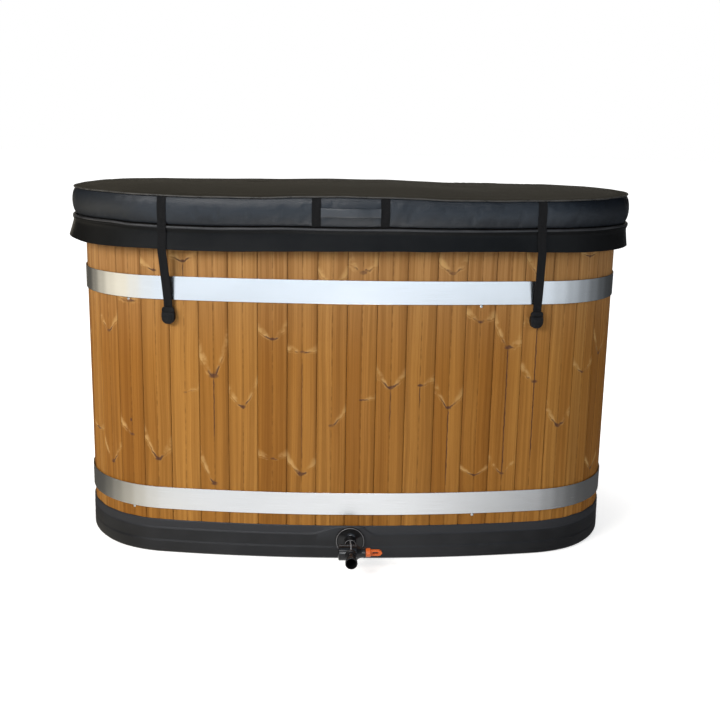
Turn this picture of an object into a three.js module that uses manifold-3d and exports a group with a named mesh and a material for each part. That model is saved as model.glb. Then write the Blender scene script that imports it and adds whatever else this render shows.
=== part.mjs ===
// Cold plunge tub: an oval plastic tub in a timber jacket with two steel bands, on a black base tray,
// with a strapped padded cover and a drain valve at the front.
// Millimetres, +Z up, -Y to the front, origin on the floor under the middle of the base.
import * as THREE from 'three';
import { mergeVertices } from 'three/addons/utils/BufferGeometryUtils.js';
import Module from 'manifold-3d';

// Plan of the tub over its timber: four corner arcs, bowed long sides, short flat ends
const TUB_LENGTH = 1630;
const END_RADIUS = 305;
const END_FLAT = 58;
const SIDE_BOW = 41;

// Heights above the floor
const BASE_HEIGHT = 102;
const RIM_HEIGHT = 985;
const UPPER_BAND_BOTTOM = 767;
const LOWER_BAND_BOTTOM = 137;

// Clearance between pieces that touch, and between flat pieces and curved neighbours
const GAP = 0.3;
const CURVE_GAP = 1.2;

// Reach of a cut past the face it opens, and of a joined piece into its neighbour
const OVERLAP = 1;

// Timber jacket
const PANEL_COUNT = 16;
const BOARDS_PER_PANEL = 3;
const BOARD_THICKNESS = 20;
const BOARD_CROWN = 0.8;
const SEAM_DEPTH = 4.5;
const SEAM_WIDTH = 7;
const GROOVE_DEPTH = 2.6;
const GROOVE_WIDTH = 6;
const SEAM_SHIFT = -18;

// Insulation and inner tub
const INSULATION_THICKNESS = 22;
const SHELL_WALL = 6;
const FLOOR_FILLET = 40;
const RIM_THICKNESS = 8;
const RIM_LIP_DEPTH = 30;
const RIM_LIP_WALL = 4;

// Base tray
const TRAY_WALL = 5;
const TRAY_FLOOR = 6;
const TRAY_STANDOFF = 1.9;
const TRAY_LEDGE = 1.3;
const LOWER_LEDGE_HEIGHT = 36;
const UPPER_LEDGE_HEIGHT = 74;
const TRAY_EDGE_ROUND = 10;

// Steel bands with a bolted joint at the back, and the screws that stop them sliding down
const BAND_HEIGHT = 67;
const BAND_THICKNESS = 1.5;
const BAND_EAR = 18;
const BAND_SPLIT = 4;
const BOLT_DIAMETER = 6;
const BOLT_HEAD_WIDTH = 11;
const BOLT_HEAD_HEIGHT = 4;
const HEX_SIDES = 6;
const NUT_HEIGHT = 5;
const BOLT_END = 3;
const SCREW_HEAD = 9;
const SCREW_HEAD_HEIGHT = 2.4;
const SCREW_SHANK = 4;
const SCREW_LENGTH = 14;
const SCREW_BOARDS = [-8, 4, 16, 28];

// Padded cover: a vinyl skin over a foam core, with a skirt round the rim
const COVER_OVERHANG = 27;
const COVER_EDGE_HEIGHT = 80;
const COVER_CROWN = 20;
const CROWN_POWER = 3;
const COVER_END_DROP = 4;
const COVER_BULGE = 1.8;
const COVER_SKIN = 2.5;
const COVER_SEAM_HEIGHT = 3;
const SKIRT_DROP = 68.5;
const SKIRT_SKIN = 2.8;
const SKIRT_ROLL = 5.5;
const SKIRT_FLARE = 11;
const SKIRT_WAVE = 2.5;
const SKIRT_WAVE_COUNT = 11;

// Cover handle
const HANDLE_CENTRE = -8;
const HANDLE_SPACING = 188;
const GRIP_HEIGHT = 27;
const GRIP_THICKNESS = 4;
const GRIP_BOW = 14;
const GRIP_MIDDLE = 44;
const GRIP_END_PULL = 0.5;
const GRIP_MIDDLE_PULL = 0.625;

// Straps and their clips, at these distances along the outline from the middle of each long side
const STRAP_REACH = 527;
const WEB_WIDTH = 25;
const WEB_THICKNESS = 1.8;
const CLIP_TOP = 747;
const TONGUE_WIDTH = 36;
const TONGUE_DEPTH = 9;
const TONGUE_HEIGHT = 14;
const BLADE_WIDTH = 24;
const BLADE_THICKNESS = 4;
const BLADE_LENGTH = 25;
const SOCKET_WIDTH = 37;
const SOCKET_FACE = 6;
const SOCKET_HEIGHT = 34;
const SOCKET_ROUND = 13;
const SLOT_CLEARANCE = 0.8;
const WEB_INSERT = 9;

// Drain
const DRAIN_HEIGHT = 58;
const DRAIN_SETBACK = 160;
const PIPE_DIAMETER = 40;
const PIPE_WALL = 3;
const PIPE_BEND = 35;
const STRAINER_DIAMETER = 72;
const STRAINER_THICKNESS = 4;
const STRAINER_HOLES = 6;
const STRAINER_HOLE = 5;
const BOSS_DIAMETER = 87;
const BOSS_STANDOFF = 6;
const GASKET_THICKNESS = 2;
const FLANGE_DIAMETER = 86;
const FLANGE_THICKNESS = 7;
const FLANGE_SOCKET_DEPTH = 4;
const SLEEVE_DIAMETER = 34;
const SLEEVE_LENGTH = 27;

// Drain valve: a plug turned by a key, in a barrel that lies along X and narrows to a nose at the key,
// with an outlet to the front
const VALVE_REACH = 95;
const BARREL_DIAMETER = 46;
const BARREL_LEFT = 36;
const BARREL_SHOULDER = 18;
const BARREL_TAPER = 12;
const BARREL_RIGHT = 42;
const NOSE_DIAMETER = 32;
const BARREL_END_WALL = 6;
const NECK_DIAMETER = 26;
const PLUG_DIAMETER = 25.4;
const PLUG_BORE = 18;
const FLOW_BORE = 20;
const OUTLET_SOCKET = 26;
const OUTLET_SOCKET_DEPTH = 8;
const OUTLET_BOSS = 34;
const OUTLET_BOSS_LENGTH = 8;
const OUTLET_LENGTH = 48;
const OUTLET_MOUTH = 35;
const OUTLET_NECK = 28;
const STEM_DIAMETER = 12;
const STEM_LENGTH = 12;
const KEY_COLLAR_DIAMETER = 26;
const KEY_COLLAR_LENGTH = 16;
const KEY_LENGTH = 32;
const KEY_HEIGHT = 19;
const KEY_THICKNESS = 6;
const KEY_SLOT_LENGTH = 20;
const KEY_SLOT_HEIGHT = 6;
const KEY_RIM = 7.5;

// Facets: steps per corner arc, per half side, round larger and smaller round pieces, along and round
// the pipe, and up the tub's floor fillet
const CORNER_STEPS = 8;
const SIDE_STEPS = 4;
const ROUND_STEPS = 20;
const SMALL_STEPS = 8;
const PIPE_STEPS = 16;
const PIPE_SIDES = 12;
const FILLET_STEPS = 3;

const wasm = await Module();
wasm.setup();

const tub = new THREE.Group();

const finishes = {
  timber: { color: 0xb4783c, roughness: 0.6, metalness: 0 },
  steel: { color: 0xc9cbcb, roughness: 0.35, metalness: 1 },
  blackPlastic: { color: 0x141416, roughness: 0.5, metalness: 0 },
  foam: { color: 0xd8d5cc, roughness: 0.9, metalness: 0 },
  vinyl: { color: 0x17171a, roughness: 0.45, metalness: 0 },
  webbing: { color: 0x101012, roughness: 0.8, metalness: 0 },
  rubber: { color: 0x0d0d0d, roughness: 0.8, metalness: 0 },
  orangePlastic: { color: 0xe2551a, roughness: 0.4, metalness: 0 },
};

function addPiece(parent, name, geometry, finish) {
  const mesh = new THREE.Mesh(geometry, new THREE.MeshStandardMaterial(finishes[finish]));
  mesh.name = name;
  parent.add(mesh);
  return mesh;
}

// Boolean helpers

function solidOf(geometry) {
  const bare = geometry.clone();
  bare.deleteAttribute('normal');
  bare.deleteAttribute('uv');
  const merged = mergeVertices(bare, 1e-4);
  const mesh = new wasm.Mesh({
    numProp: 3,
    vertProperties: new Float32Array(merged.attributes.position.array),
    triVerts: new Uint32Array(merged.index.array),
  });
  return new wasm.Manifold(mesh);
}

function geometryOf(solid) {
  const mesh = solid.getMesh();
  const geometry = new THREE.BufferGeometry();
  geometry.setAttribute('position', new THREE.BufferAttribute(mesh.vertProperties, 3));
  geometry.setIndex(new THREE.BufferAttribute(mesh.triVerts, 1));
  geometry.computeVertexNormals();
  return geometry;
}

function combine(base, { add = [], cut = [] }) {
  let solid = solidOf(base);
  for (const geometry of add) solid = solid.add(solidOf(geometry));
  for (const geometry of cut) solid = solid.subtract(solidOf(geometry));
  return geometryOf(solid);
}

// Simple solids placed along an axis

function box(x0, x1, y0, y1, z0, z1) {
  const geometry = new THREE.BoxGeometry(x1 - x0, y1 - y0, z1 - z0);
  return geometry.translate((x0 + x1) / 2, (y0 + y1) / 2, (z0 + z1) / 2);
}

function cylinderX(diameter, x0, x1, steps = ROUND_STEPS, endDiameter = diameter) {
  const geometry = new THREE.CylinderGeometry(endDiameter / 2, diameter / 2, x1 - x0, steps);
  return geometry.rotateZ(-Math.PI / 2).translate((x0 + x1) / 2, 0, 0);
}

// Towards the front: reach grows along -Y
function cylinderFront(diameter, reach0, reach1, steps = ROUND_STEPS, endDiameter = diameter) {
  const geometry = new THREE.CylinderGeometry(endDiameter / 2, diameter / 2, reach1 - reach0, steps);
  return geometry.rotateZ(Math.PI).translate(0, -(reach0 + reach1) / 2, 0);
}

function cylinderUp(diameter, z0, z1, steps = ROUND_STEPS) {
  const geometry = new THREE.CylinderGeometry(diameter / 2, diameter / 2, z1 - z0, steps);
  return geometry.rotateX(Math.PI / 2).translate(0, 0, (z0 + z1) / 2);
}

// Plan outline, walked from the middle of the front towards +X

const cornerX = TUB_LENGTH / 2 - END_RADIUS;
const halfWidth = END_RADIUS + SIDE_BOW + END_FLAT / 2;
const bowReach = (cornerX ** 2 + SIDE_BOW ** 2) / (2 * SIDE_BOW);
const sideRadius = bowReach + END_RADIUS;
const sideAngle = Math.asin(cornerX / bowReach);
const cornerAngle = Math.PI / 2 - sideAngle;
const sideCentreY = sideRadius - halfWidth;

function arc(x, y, radius, start, sweep, steps) {
  return { x, y, radius, start, sweep, steps, length: radius * sweep };
}

function flat(x, y, normal) {
  return { x, y, radius: 0, start: normal, sweep: 0, steps: 1, length: END_FLAT };
}

const outline = [
  arc(0, sideCentreY, sideRadius, -Math.PI / 2, sideAngle, SIDE_STEPS),
  arc(cornerX, -END_FLAT / 2, END_RADIUS, -cornerAngle, cornerAngle, CORNER_STEPS),
  flat(TUB_LENGTH / 2, -END_FLAT / 2, 0),
  arc(cornerX, END_FLAT / 2, END_RADIUS, 0, cornerAngle, CORNER_STEPS),
  arc(0, -sideCentreY, sideRadius, cornerAngle, 2 * sideAngle, 2 * SIDE_STEPS),
  arc(-cornerX, END_FLAT / 2, END_RADIUS, cornerAngle + 2 * sideAngle, cornerAngle, CORNER_STEPS),
  flat(-TUB_LENGTH / 2, END_FLAT / 2, Math.PI),
  arc(-cornerX, -END_FLAT / 2, END_RADIUS, Math.PI, cornerAngle, CORNER_STEPS),
  arc(0, sideCentreY, sideRadius, Math.PI + cornerAngle, sideAngle, SIDE_STEPS),
];
const perimeter = outline.reduce((sum, part) => sum + part.length, 0);

// Point of one stretch of the outline at a share of its length, with its outward normal
function stretchPoint(part, share, along) {
  const normal = part.start + part.sweep * share;
  const nx = Math.cos(normal);
  const ny = Math.sin(normal);
  const run = part.radius ? 0 : part.length * share;
  const x = part.x + part.radius * nx - run * ny;
  const y = part.y + part.radius * ny + run * nx;
  return { x, y, nx, ny, normal, along };
}

function outlinePoint(distance) {
  let left = ((distance % perimeter) + perimeter) % perimeter;
  for (const part of outline) {
    if (left <= part.length) return stretchPoint(part, left / part.length, distance);
    left -= part.length;
  }
  return stretchPoint(outline[0], 0, distance);
}

function outlineRing() {
  const points = [];
  let start = 0;
  for (const part of outline) {
    for (let step = 0; step < part.steps; step++) {
      const share = step / part.steps;
      points.push(stretchPoint(part, share, start + share * part.length));
    }
    start += part.length;
  }
  return points;
}
const ring = outlineRing();

// The flats between the points of a ring lie a little inside the true outline of the long sides
const sideSag = sideRadius * (1 - Math.cos(sideAngle / SIDE_STEPS / 2));
const jacketGap = GAP + sideSag;

// Triangles across a ring, in strips between each front point and the back point that mirrors it
function capFaces(count) {
  const half = count / 2;
  const faces = [];
  for (let i = 0; i < half / 2 - 1; i++) {
    const front = [i, i + 1, half - i - 1, half - i];
    const mirrored = [count - i - 1, (count - i) % count, half + i, half + i + 1];
    for (const [a, b, c, d] of [front, mirrored]) faces.push([a, b, c], [a, c, d]);
  }
  return faces;
}

// Loft along the outline: each level has an outward offset and a height, as numbers or functions of
// the outline point. A closed loft is a ring of that profile, an open one is capped at both ends.
// Each square is split from its outer level, so that a skin and what it covers have the same facets.
function loft(levels, closed = false) {
  const at = (value, point) => (typeof value === 'function' ? value(point) : value);
  const positions = [];
  for (const [offset, height] of levels) {
    for (const point of ring) {
      const out = at(offset, point);
      positions.push(point.x + point.nx * out, point.y + point.ny * out, at(height, point));
    }
  }
  const count = ring.length;
  const faces = [];
  const spans = closed ? levels.length : levels.length - 1;
  for (let level = 0; level < spans; level++) {
    const above = (level + 1) % levels.length;
    const low = level * count;
    const high = above * count;
    const outwards = at(levels[level][0], ring[0]) < at(levels[above][0], ring[0]);
    for (let i = 0; i < count; i++) {
      const next = (i + 1) % count;
      if (outwards) faces.push(low + i, low + next, high + i, low + next, high + next, high + i);
      else faces.push(low + i, low + next, high + next, low + i, high + next, high + i);
    }
  }
  if (!closed) {
    const last = (levels.length - 1) * count;
    for (const [a, b, c] of capFaces(count)) faces.push(a, c, b, last + a, last + b, last + c);
  }
  const geometry = new THREE.BufferGeometry();
  geometry.setAttribute('position', new THREE.Float32BufferAttribute(positions, 3));
  geometry.setIndex(faces);
  geometry.computeVertexNormals();
  return geometry;
}

// Group that stands on the outline with -Y pointing out and X running along it
function outlineGroup(distance) {
  const point = outlinePoint(distance);
  const group = new THREE.Group();
  group.position.set(point.x, point.y, 0);
  group.rotation.z = point.normal + Math.PI / 2;
  tub.add(group);
  return group;
}

// Timber jacket

const boardCount = PANEL_COUNT * BOARDS_PER_PANEL;
const boardPitch = perimeter / boardCount;
const timberBottom = BASE_HEIGHT + GAP;
const timberTop = RIM_HEIGHT - RIM_THICKNESS - GAP;

// Outer face of a board as [share of its width, depth]: two crowned halves with a groove between
const seamShare = SEAM_WIDTH / 2 / boardPitch;
const grooveShare = GROOVE_WIDTH / 2 / boardPitch;
const boardFace = [
  [seamShare, BOARD_CROWN],
  [0.25, 0],
  [0.5 - grooveShare, BOARD_CROWN],
  [0.5, GROOVE_DEPTH],
  [0.5 + grooveShare, BOARD_CROWN],
  [0.75, 0],
  [1 - seamShare, BOARD_CROWN],
];

function boardPlan(index) {
  const start = SEAM_SHIFT + index * boardPitch;
  return { start, from: outlinePoint(start), to: outlinePoint(start + boardPitch) };
}

// Points on the flat face of a board, which spans between two points of the outline
function boardPoint(board, share, depth) {
  const { from, to } = board;
  const chord = new THREE.Vector2(to.x - from.x, to.y - from.y);
  const inward = new THREE.Vector2(-chord.y, chord.x).normalize();
  return new THREE.Vector2(from.x, from.y).addScaledVector(chord, share).addScaledVector(inward, depth);
}

function screwPlace(index) {
  const board = boardPlan(index);
  const seat = boardPoint(board, 0.5, BOARD_CROWN - GAP);
  const angle = Math.atan2(board.to.y - board.from.y, board.to.x - board.from.x);
  return { seat, angle };
}

// Point straight in from the outline, moved along it by a little
function inwardPoint(point, depth, shift = 0) {
  return new THREE.Vector2(
    point.x - point.nx * depth - point.ny * shift,
    point.y - point.ny * depth + point.nx * shift,
  );
}

function panelGeometry(panel) {
  const outer = [];
  const inner = [];
  const first = panel * BOARDS_PER_PANEL;
  for (let index = first; index < first + BOARDS_PER_PANEL; index++) {
    const board = boardPlan(index);
    outer.push(inwardPoint(board.from, SEAM_DEPTH));
    for (const [share, depth] of boardFace) outer.push(boardPoint(board, share, depth));
    inner.push(inwardPoint(board.from, BOARD_THICKNESS));
    inner.push(inwardPoint(outlinePoint(board.start + boardPitch / 2), BOARD_THICKNESS));
  }
  const end = outlinePoint(SEAM_SHIFT + (first + BOARDS_PER_PANEL) * boardPitch);
  outer.push(inwardPoint(end, SEAM_DEPTH, -GAP));
  inner.push(inwardPoint(end, BOARD_THICKNESS, -GAP));
  const shape = new THREE.Shape([...outer, ...inner.reverse()]);
  const height = timberTop - timberBottom;
  const panelSolid = new THREE.ExtrudeGeometry(shape, { depth: height, bevelEnabled: false });
  return panelSolid.translate(0, 0, timberBottom);
}

const upperScrewHeight = UPPER_BAND_BOTTOM - GAP - SCREW_HEAD / 2;
const lowerScrewHeight = LOWER_BAND_BOTTOM - GAP - SCREW_HEAD / 2;

function screwHole(index, height) {
  const { seat, angle } = screwPlace(index);
  const hole = cylinderFront(SCREW_SHANK + 2 * GAP, -SCREW_LENGTH - GAP, SCREW_HEAD_HEIGHT, SMALL_STEPS);
  return hole.rotateZ(angle).translate(seat.x, seat.y, height);
}

function buildTimber() {
  for (let panel = 0; panel < PANEL_COUNT; panel++) {
    const holes = [];
    for (const index of SCREW_BOARDS) {
      const wrapped = (index + boardCount) % boardCount;
      if (Math.floor(wrapped / BOARDS_PER_PANEL) !== panel) continue;
      holes.push(screwHole(index, upperScrewHeight), screwHole(index, lowerScrewHeight));
    }
    const plain = panelGeometry(panel);
    const geometry = holes.length ? combine(plain, { cut: holes }) : plain;
    addPiece(tub, `cladding_panel_${String(panel + 1).padStart(2, '0')}`, geometry, 'timber');
  }
}

// Lathe profile of a pan head screw, head outwards
function screwGeometry() {
  const head = SCREW_HEAD / 2;
  const shank = SCREW_SHANK / 2;
  const profile = [
    [0, -SCREW_LENGTH],
    [shank, -SCREW_LENGTH + shank],
    [shank, 0],
    [head, 0],
    [head * 0.85, SCREW_HEAD_HEIGHT * 0.7],
    [0, SCREW_HEAD_HEIGHT],
  ].map(([radius, reach]) => new THREE.Vector2(radius, reach));
  return new THREE.LatheGeometry(profile, SMALL_STEPS).rotateZ(Math.PI);
}

function buildBandScrews() {
  const heights = { upper: upperScrewHeight, lower: lowerScrewHeight };
  for (const [band, height] of Object.entries(heights)) {
    SCREW_BOARDS.forEach((index, number) => {
      const { seat, angle } = screwPlace(index);
      const screw = addPiece(tub, `${band}_band_screw_${number + 1}`, screwGeometry(), 'steel');
      screw.position.set(seat.x, seat.y, height);
      screw.rotation.z = angle;
    });
  }
}

// Steel bands: a ring split at the back, with two ears drawn together by a bolt and nut

const bandInner = jacketGap;
const bandOuter = bandInner + BAND_THICKNESS;
const earReach = halfWidth + bandOuter + BAND_EAR;
const boltReach = halfWidth + bandOuter + BAND_EAR / 2;
const earOuterX = BAND_SPLIT / 2 + BAND_THICKNESS;

function buildBand(name, bottom) {
  const top = bottom + BAND_HEIGHT;
  const middle = bottom + BAND_HEIGHT / 2;
  const strip = loft([[bandInner, bottom], [bandOuter, bottom], [bandOuter, top], [bandInner, top]], true);
  const earFoot = halfWidth + bandInner;
  const ears = [-1, 1].map((side) => {
    const [x0, x1] = [side * BAND_SPLIT / 2, side * earOuterX].sort((a, b) => a - b);
    return box(x0, x1, earFoot, earReach, bottom, top);
  });
  const halfSplit = BAND_SPLIT / 2;
  const split = box(-halfSplit, halfSplit, halfWidth - BAND_EAR, earReach + GAP, bottom - GAP, top + GAP);
  const holeSize = BOLT_DIAMETER + 2 * GAP;
  const hole = cylinderX(holeSize, -BAND_EAR, BAND_EAR, SMALL_STEPS).translate(0, boltReach, middle);
  addPiece(tub, `${name}_band`, combine(strip, { add: ears, cut: [split, hole] }), 'steel');

  const headStart = -earOuterX - GAP - BOLT_HEAD_HEIGHT;
  const nutEnd = earOuterX + GAP + NUT_HEIGHT;
  const head = cylinderX(BOLT_HEAD_WIDTH, headStart, headStart + BOLT_HEAD_HEIGHT, HEX_SIDES);
  const shank = cylinderX(BOLT_DIAMETER, headStart + OVERLAP, nutEnd + BOLT_END, SMALL_STEPS);
  const bolt = addPiece(tub, `${name}_band_bolt`, combine(head, { add: [shank] }), 'steel');
  bolt.position.set(0, boltReach, middle);

  const nutFrom = nutEnd - NUT_HEIGHT;
  const nutBlank = cylinderX(BOLT_HEAD_WIDTH, nutFrom, nutEnd, HEX_SIDES);
  const nutHole = cylinderX(holeSize, nutFrom - OVERLAP, nutEnd + OVERLAP, SMALL_STEPS);
  const nut = addPiece(tub, `${name}_band_nut`, combine(nutBlank, { cut: [nutHole] }), 'steel');
  nut.position.set(0, boltReach, middle);
}

// Inner tub, insulation and base tray

const insulationOuter = -BOARD_THICKNESS - CURVE_GAP;
const insulationInner = insulationOuter - INSULATION_THICKNESS;
const shellOuter = insulationInner - GAP;
const shellInner = shellOuter - SHELL_WALL;
const lipInner = jacketGap;
const lipOuter = lipInner + RIM_LIP_WALL;
const floorUnder = BASE_HEIGHT + GAP;
const floorTop = floorUnder + SHELL_WALL;
const drainY = -(halfWidth - DRAIN_SETBACK);
const pipeBend = Math.min(PIPE_BEND, floorUnder - DRAIN_HEIGHT - CURVE_GAP);
const bendTop = DRAIN_HEIGHT + pipeBend;

// Quarter round between the floor and the wall, from the floor up
function floorFillet(wallOffset, floorHeight, radius) {
  const points = [];
  for (let step = 0; step <= FILLET_STEPS; step++) {
    const angle = (step / FILLET_STEPS) * (Math.PI / 2);
    const inset = radius * (1 - Math.sin(angle));
    points.push([wallOffset - inset, floorHeight + radius * (1 - Math.cos(angle))]);
  }
  return points;
}

function buildInnerTub() {
  const underRim = RIM_HEIGHT - RIM_THICKNESS;
  const shell = loft([
    ...floorFillet(shellOuter, floorUnder, FLOOR_FILLET + SHELL_WALL),
    [shellOuter, underRim],
    [lipInner, underRim],
    [lipInner, RIM_HEIGHT - RIM_LIP_DEPTH],
    [lipOuter, RIM_HEIGHT - RIM_LIP_DEPTH],
    [lipOuter, RIM_HEIGHT - RIM_LIP_WALL],
    [lipInner, RIM_HEIGHT],
    [shellInner + RIM_LIP_WALL, RIM_HEIGHT],
    [shellInner, RIM_HEIGHT - RIM_LIP_WALL],
    ...floorFillet(shellInner, floorTop, FLOOR_FILLET).reverse(),
  ]);
  const holeSize = PIPE_DIAMETER - 2 * PIPE_WALL;
  const hole = cylinderUp(holeSize, floorUnder - SHELL_WALL, floorTop + SHELL_WALL).translate(0, drainY, 0);
  addPiece(tub, 'inner_tub', combine(shell, { cut: [hole] }), 'blackPlastic');
}

const trayShelf = -BOARD_THICKNESS - GAP;

// Route of the drain pipe: down from the tub's floor, round a bend and out to the front
function pipeRoute() {
  const top = floorUnder - GAP;
  const drop = new THREE.Vector3(0, drainY, bendTop);
  const corner = new THREE.Vector3(0, drainY, DRAIN_HEIGHT);
  const turn = new THREE.Vector3(0, drainY - pipeBend, DRAIN_HEIGHT);
  const route = new THREE.CurvePath();
  route.add(new THREE.LineCurve3(new THREE.Vector3(0, drainY, top), drop));
  route.add(new THREE.QuadraticBezierCurve3(drop, corner, turn));
  route.add(new THREE.LineCurve3(turn, new THREE.Vector3(0, -pipeEnd, DRAIN_HEIGHT)));
  return route;
}

function pipeAlong(route, diameter, bore) {
  const section = new THREE.Shape().absarc(0, 0, diameter / 2, 0, 2 * Math.PI, false);
  if (bore) section.holes.push(new THREE.Path().absarc(0, 0, bore / 2, 0, 2 * Math.PI, true));
  const options = { extrudePath: route, steps: PIPE_STEPS, curveSegments: PIPE_SIDES / 2 };
  return new THREE.ExtrudeGeometry(section, options);
}

function buildInsulation() {
  const wall = loft([
    [insulationInner, timberBottom], [insulationOuter, timberBottom],
    [insulationOuter, timberTop], [insulationInner, timberTop],
  ], true);
  addPiece(tub, 'wall_insulation', wall, 'foam');

  const trayInner = TRAY_STANDOFF - TRAY_WALL - GAP;
  const underShelf = BASE_HEIGHT - TRAY_FLOOR - GAP;
  const slab = loft([
    [trayInner - TRAY_EDGE_ROUND, TRAY_FLOOR + GAP],
    [trayInner, TRAY_FLOOR + GAP + TRAY_EDGE_ROUND],
    [trayInner, underShelf],
    [trayShelf - GAP, underShelf],
    [trayShelf - GAP, BASE_HEIGHT],
  ]);
  const bore = PIPE_DIAMETER + 2 * CURVE_GAP;
  const channelMouth = cylinderUp(bore, BASE_HEIGHT - TRAY_FLOOR, floorTop).translate(0, drainY, 0);
  const channel = pipeAlong(pipeRoute(), bore);
  addPiece(tub, 'floor_insulation', combine(slab, { cut: [channel, channelMouth] }), 'foam');
}

function buildBaseTray() {
  const upper = TRAY_STANDOFF;
  const middle = upper + TRAY_LEDGE;
  const lower = middle + TRAY_LEDGE;
  const inner = upper - TRAY_WALL;
  const slope = Math.SQRT1_2 * TRAY_EDGE_ROUND;
  const tray = loft([
    [lower - TRAY_EDGE_ROUND, 0],
    [lower - TRAY_EDGE_ROUND + slope, TRAY_EDGE_ROUND - slope],
    [lower, TRAY_EDGE_ROUND],
    [lower, LOWER_LEDGE_HEIGHT],
    [middle, LOWER_LEDGE_HEIGHT + TRAY_LEDGE],
    [middle, UPPER_LEDGE_HEIGHT],
    [upper, UPPER_LEDGE_HEIGHT + TRAY_LEDGE],
    [upper, BASE_HEIGHT],
    [trayShelf, BASE_HEIGHT],
    [trayShelf, BASE_HEIGHT - TRAY_FLOOR],
    [inner, BASE_HEIGHT - TRAY_FLOOR],
    [inner, TRAY_FLOOR + TRAY_EDGE_ROUND],
    [inner - TRAY_EDGE_ROUND, TRAY_FLOOR],
  ]);
  const bossFace = halfWidth + BOSS_STANDOFF;
  const boss = cylinderFront(BOSS_DIAMETER, halfWidth + GAP, bossFace).translate(0, 0, DRAIN_HEIGHT);
  const bore = cylinderFront(PIPE_DIAMETER + 2 * GAP, halfWidth - 2 * TRAY_WALL, bossFace + OVERLAP);
  const geometry = combine(tray, { add: [boss], cut: [bore.translate(0, 0, DRAIN_HEIGHT)] });
  addPiece(tub, 'base_tray', geometry, 'blackPlastic');
}

// Padded cover

const coverLength = TUB_LENGTH / 2 + COVER_OVERHANG;
const coverSeam = RIM_HEIGHT + COVER_SEAM_HEIGHT;
const insetReach = END_RADIUS + COVER_OVERHANG;
const crownInsets = [0.03, 0.15, 0.45, 0.85];

// Height of the cover's top edge, which falls towards both ends
function coverEdge(point) {
  return RIM_HEIGHT + COVER_EDGE_HEIGHT - COVER_END_DROP * (point.x / coverLength) ** 2;
}

// Side wall and crowned top of the cover, shrunk by some skin, from the seam up to the middle
function coverLevels(skin) {
  const rise = (share) => (point) => coverSeam + share * (coverEdge(point) - skin - coverSeam);
  const sides = [[0, 0], [0.35, 1], [0.8, 0.8], [1, 0]].map(([share, bulge]) => [
    COVER_OVERHANG - skin + COVER_BULGE * bulge,
    rise(share),
  ]);
  const tops = crownInsets.map((inset) => [
    COVER_OVERHANG - skin - inset * (insetReach - skin),
    (point) => coverEdge(point) - skin + COVER_CROWN * (1 - (1 - inset) ** CROWN_POWER),
  ]);
  return [...sides, ...tops];
}

function buildCover() {
  const coreSkin = COVER_SKIN + GAP;
  const core = loft([[COVER_OVERHANG - coreSkin, RIM_HEIGHT + GAP], ...coverLevels(coreSkin)]);
  addPiece(tub, 'cover_foam_core', core, 'foam');
  const inside = coverLevels(COVER_SKIN).reverse();
  addPiece(tub, 'cover_skin', loft([...inside, ...coverLevels(0)]), 'vinyl');
}

// Skirt: rolls out under the seam, then hangs in shallow waves and flares to its hem
const skirtBottom = RIM_HEIGHT - SKIRT_DROP;
const skirtTop = coverSeam - GAP;

function skirtWave(point) {
  const phase = (2 * Math.PI * SKIRT_WAVE_COUNT * point.along) / perimeter;
  return (SKIRT_WAVE * (Math.cos(phase) - 1)) / 2;
}

const skirtFace = [
  [SKIRT_FLARE, 0, 1],
  [SKIRT_FLARE * 0.7, 0.4, 0.6],
  [SKIRT_ROLL * 0.95, 0.7, 0.2],
  [SKIRT_ROLL, 0.86, 0],
  [SKIRT_ROLL * 0.7, 0.97, 0],
  [0, 1, 0],
];

function skirtLevel([swell, share, wave], skin) {
  const height = skirtBottom + share * (skirtTop - skirtBottom) - (share === 1 ? skin : 0);
  return [(point) => COVER_OVERHANG + swell - skin + wave * skirtWave(point), height];
}

function buildSkirt() {
  const outer = skirtFace.map((level) => skirtLevel(level, 0));
  const inner = skirtFace.map((level) => skirtLevel(level, SKIRT_SKIN)).reverse();
  addPiece(tub, 'cover_skirt', loft([...outer, ...inner], true), 'vinyl');
}

// Flat ribbon that follows a line of [outward, height] points, with its width along X
function ribbonGeometry(line, thickness, width) {
  const points = line.map(([out, height]) => new THREE.Vector2(out, height));
  const left = [];
  const right = [];
  points.forEach((point, i) => {
    const before = points[Math.max(i - 1, 0)];
    const after = points[Math.min(i + 1, points.length - 1)];
    const along = after.clone().sub(before).normalize();
    const side = new THREE.Vector2(-along.y, along.x).multiplyScalar(thickness / 2);
    left.push(point.clone().add(side));
    right.push(point.clone().sub(side));
  });
  const shape = new THREE.Shape([...right, ...left.reverse()]);
  const geometry = new THREE.ExtrudeGeometry(shape, { depth: width, bevelEnabled: false });
  const turn = new THREE.Matrix4().makeBasis(
    new THREE.Vector3(0, -1, 0), new THREE.Vector3(0, 0, 1), new THREE.Vector3(-1, 0, 0),
  );
  return geometry.applyMatrix4(turn).translate(width / 2, 0, 0);
}

// Straps: sewn to the cover's side, over the skirt and down to a clip below the upper band

const tongueBack = lipOuter + CURVE_GAP;
const bladeOut = tongueBack + TONGUE_DEPTH / 2;
const tongueBottom = CLIP_TOP - TONGUE_HEIGHT;
const socketTop = tongueBottom - GAP;
const webStand = GAP + WEB_THICKNESS / 2;

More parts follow.
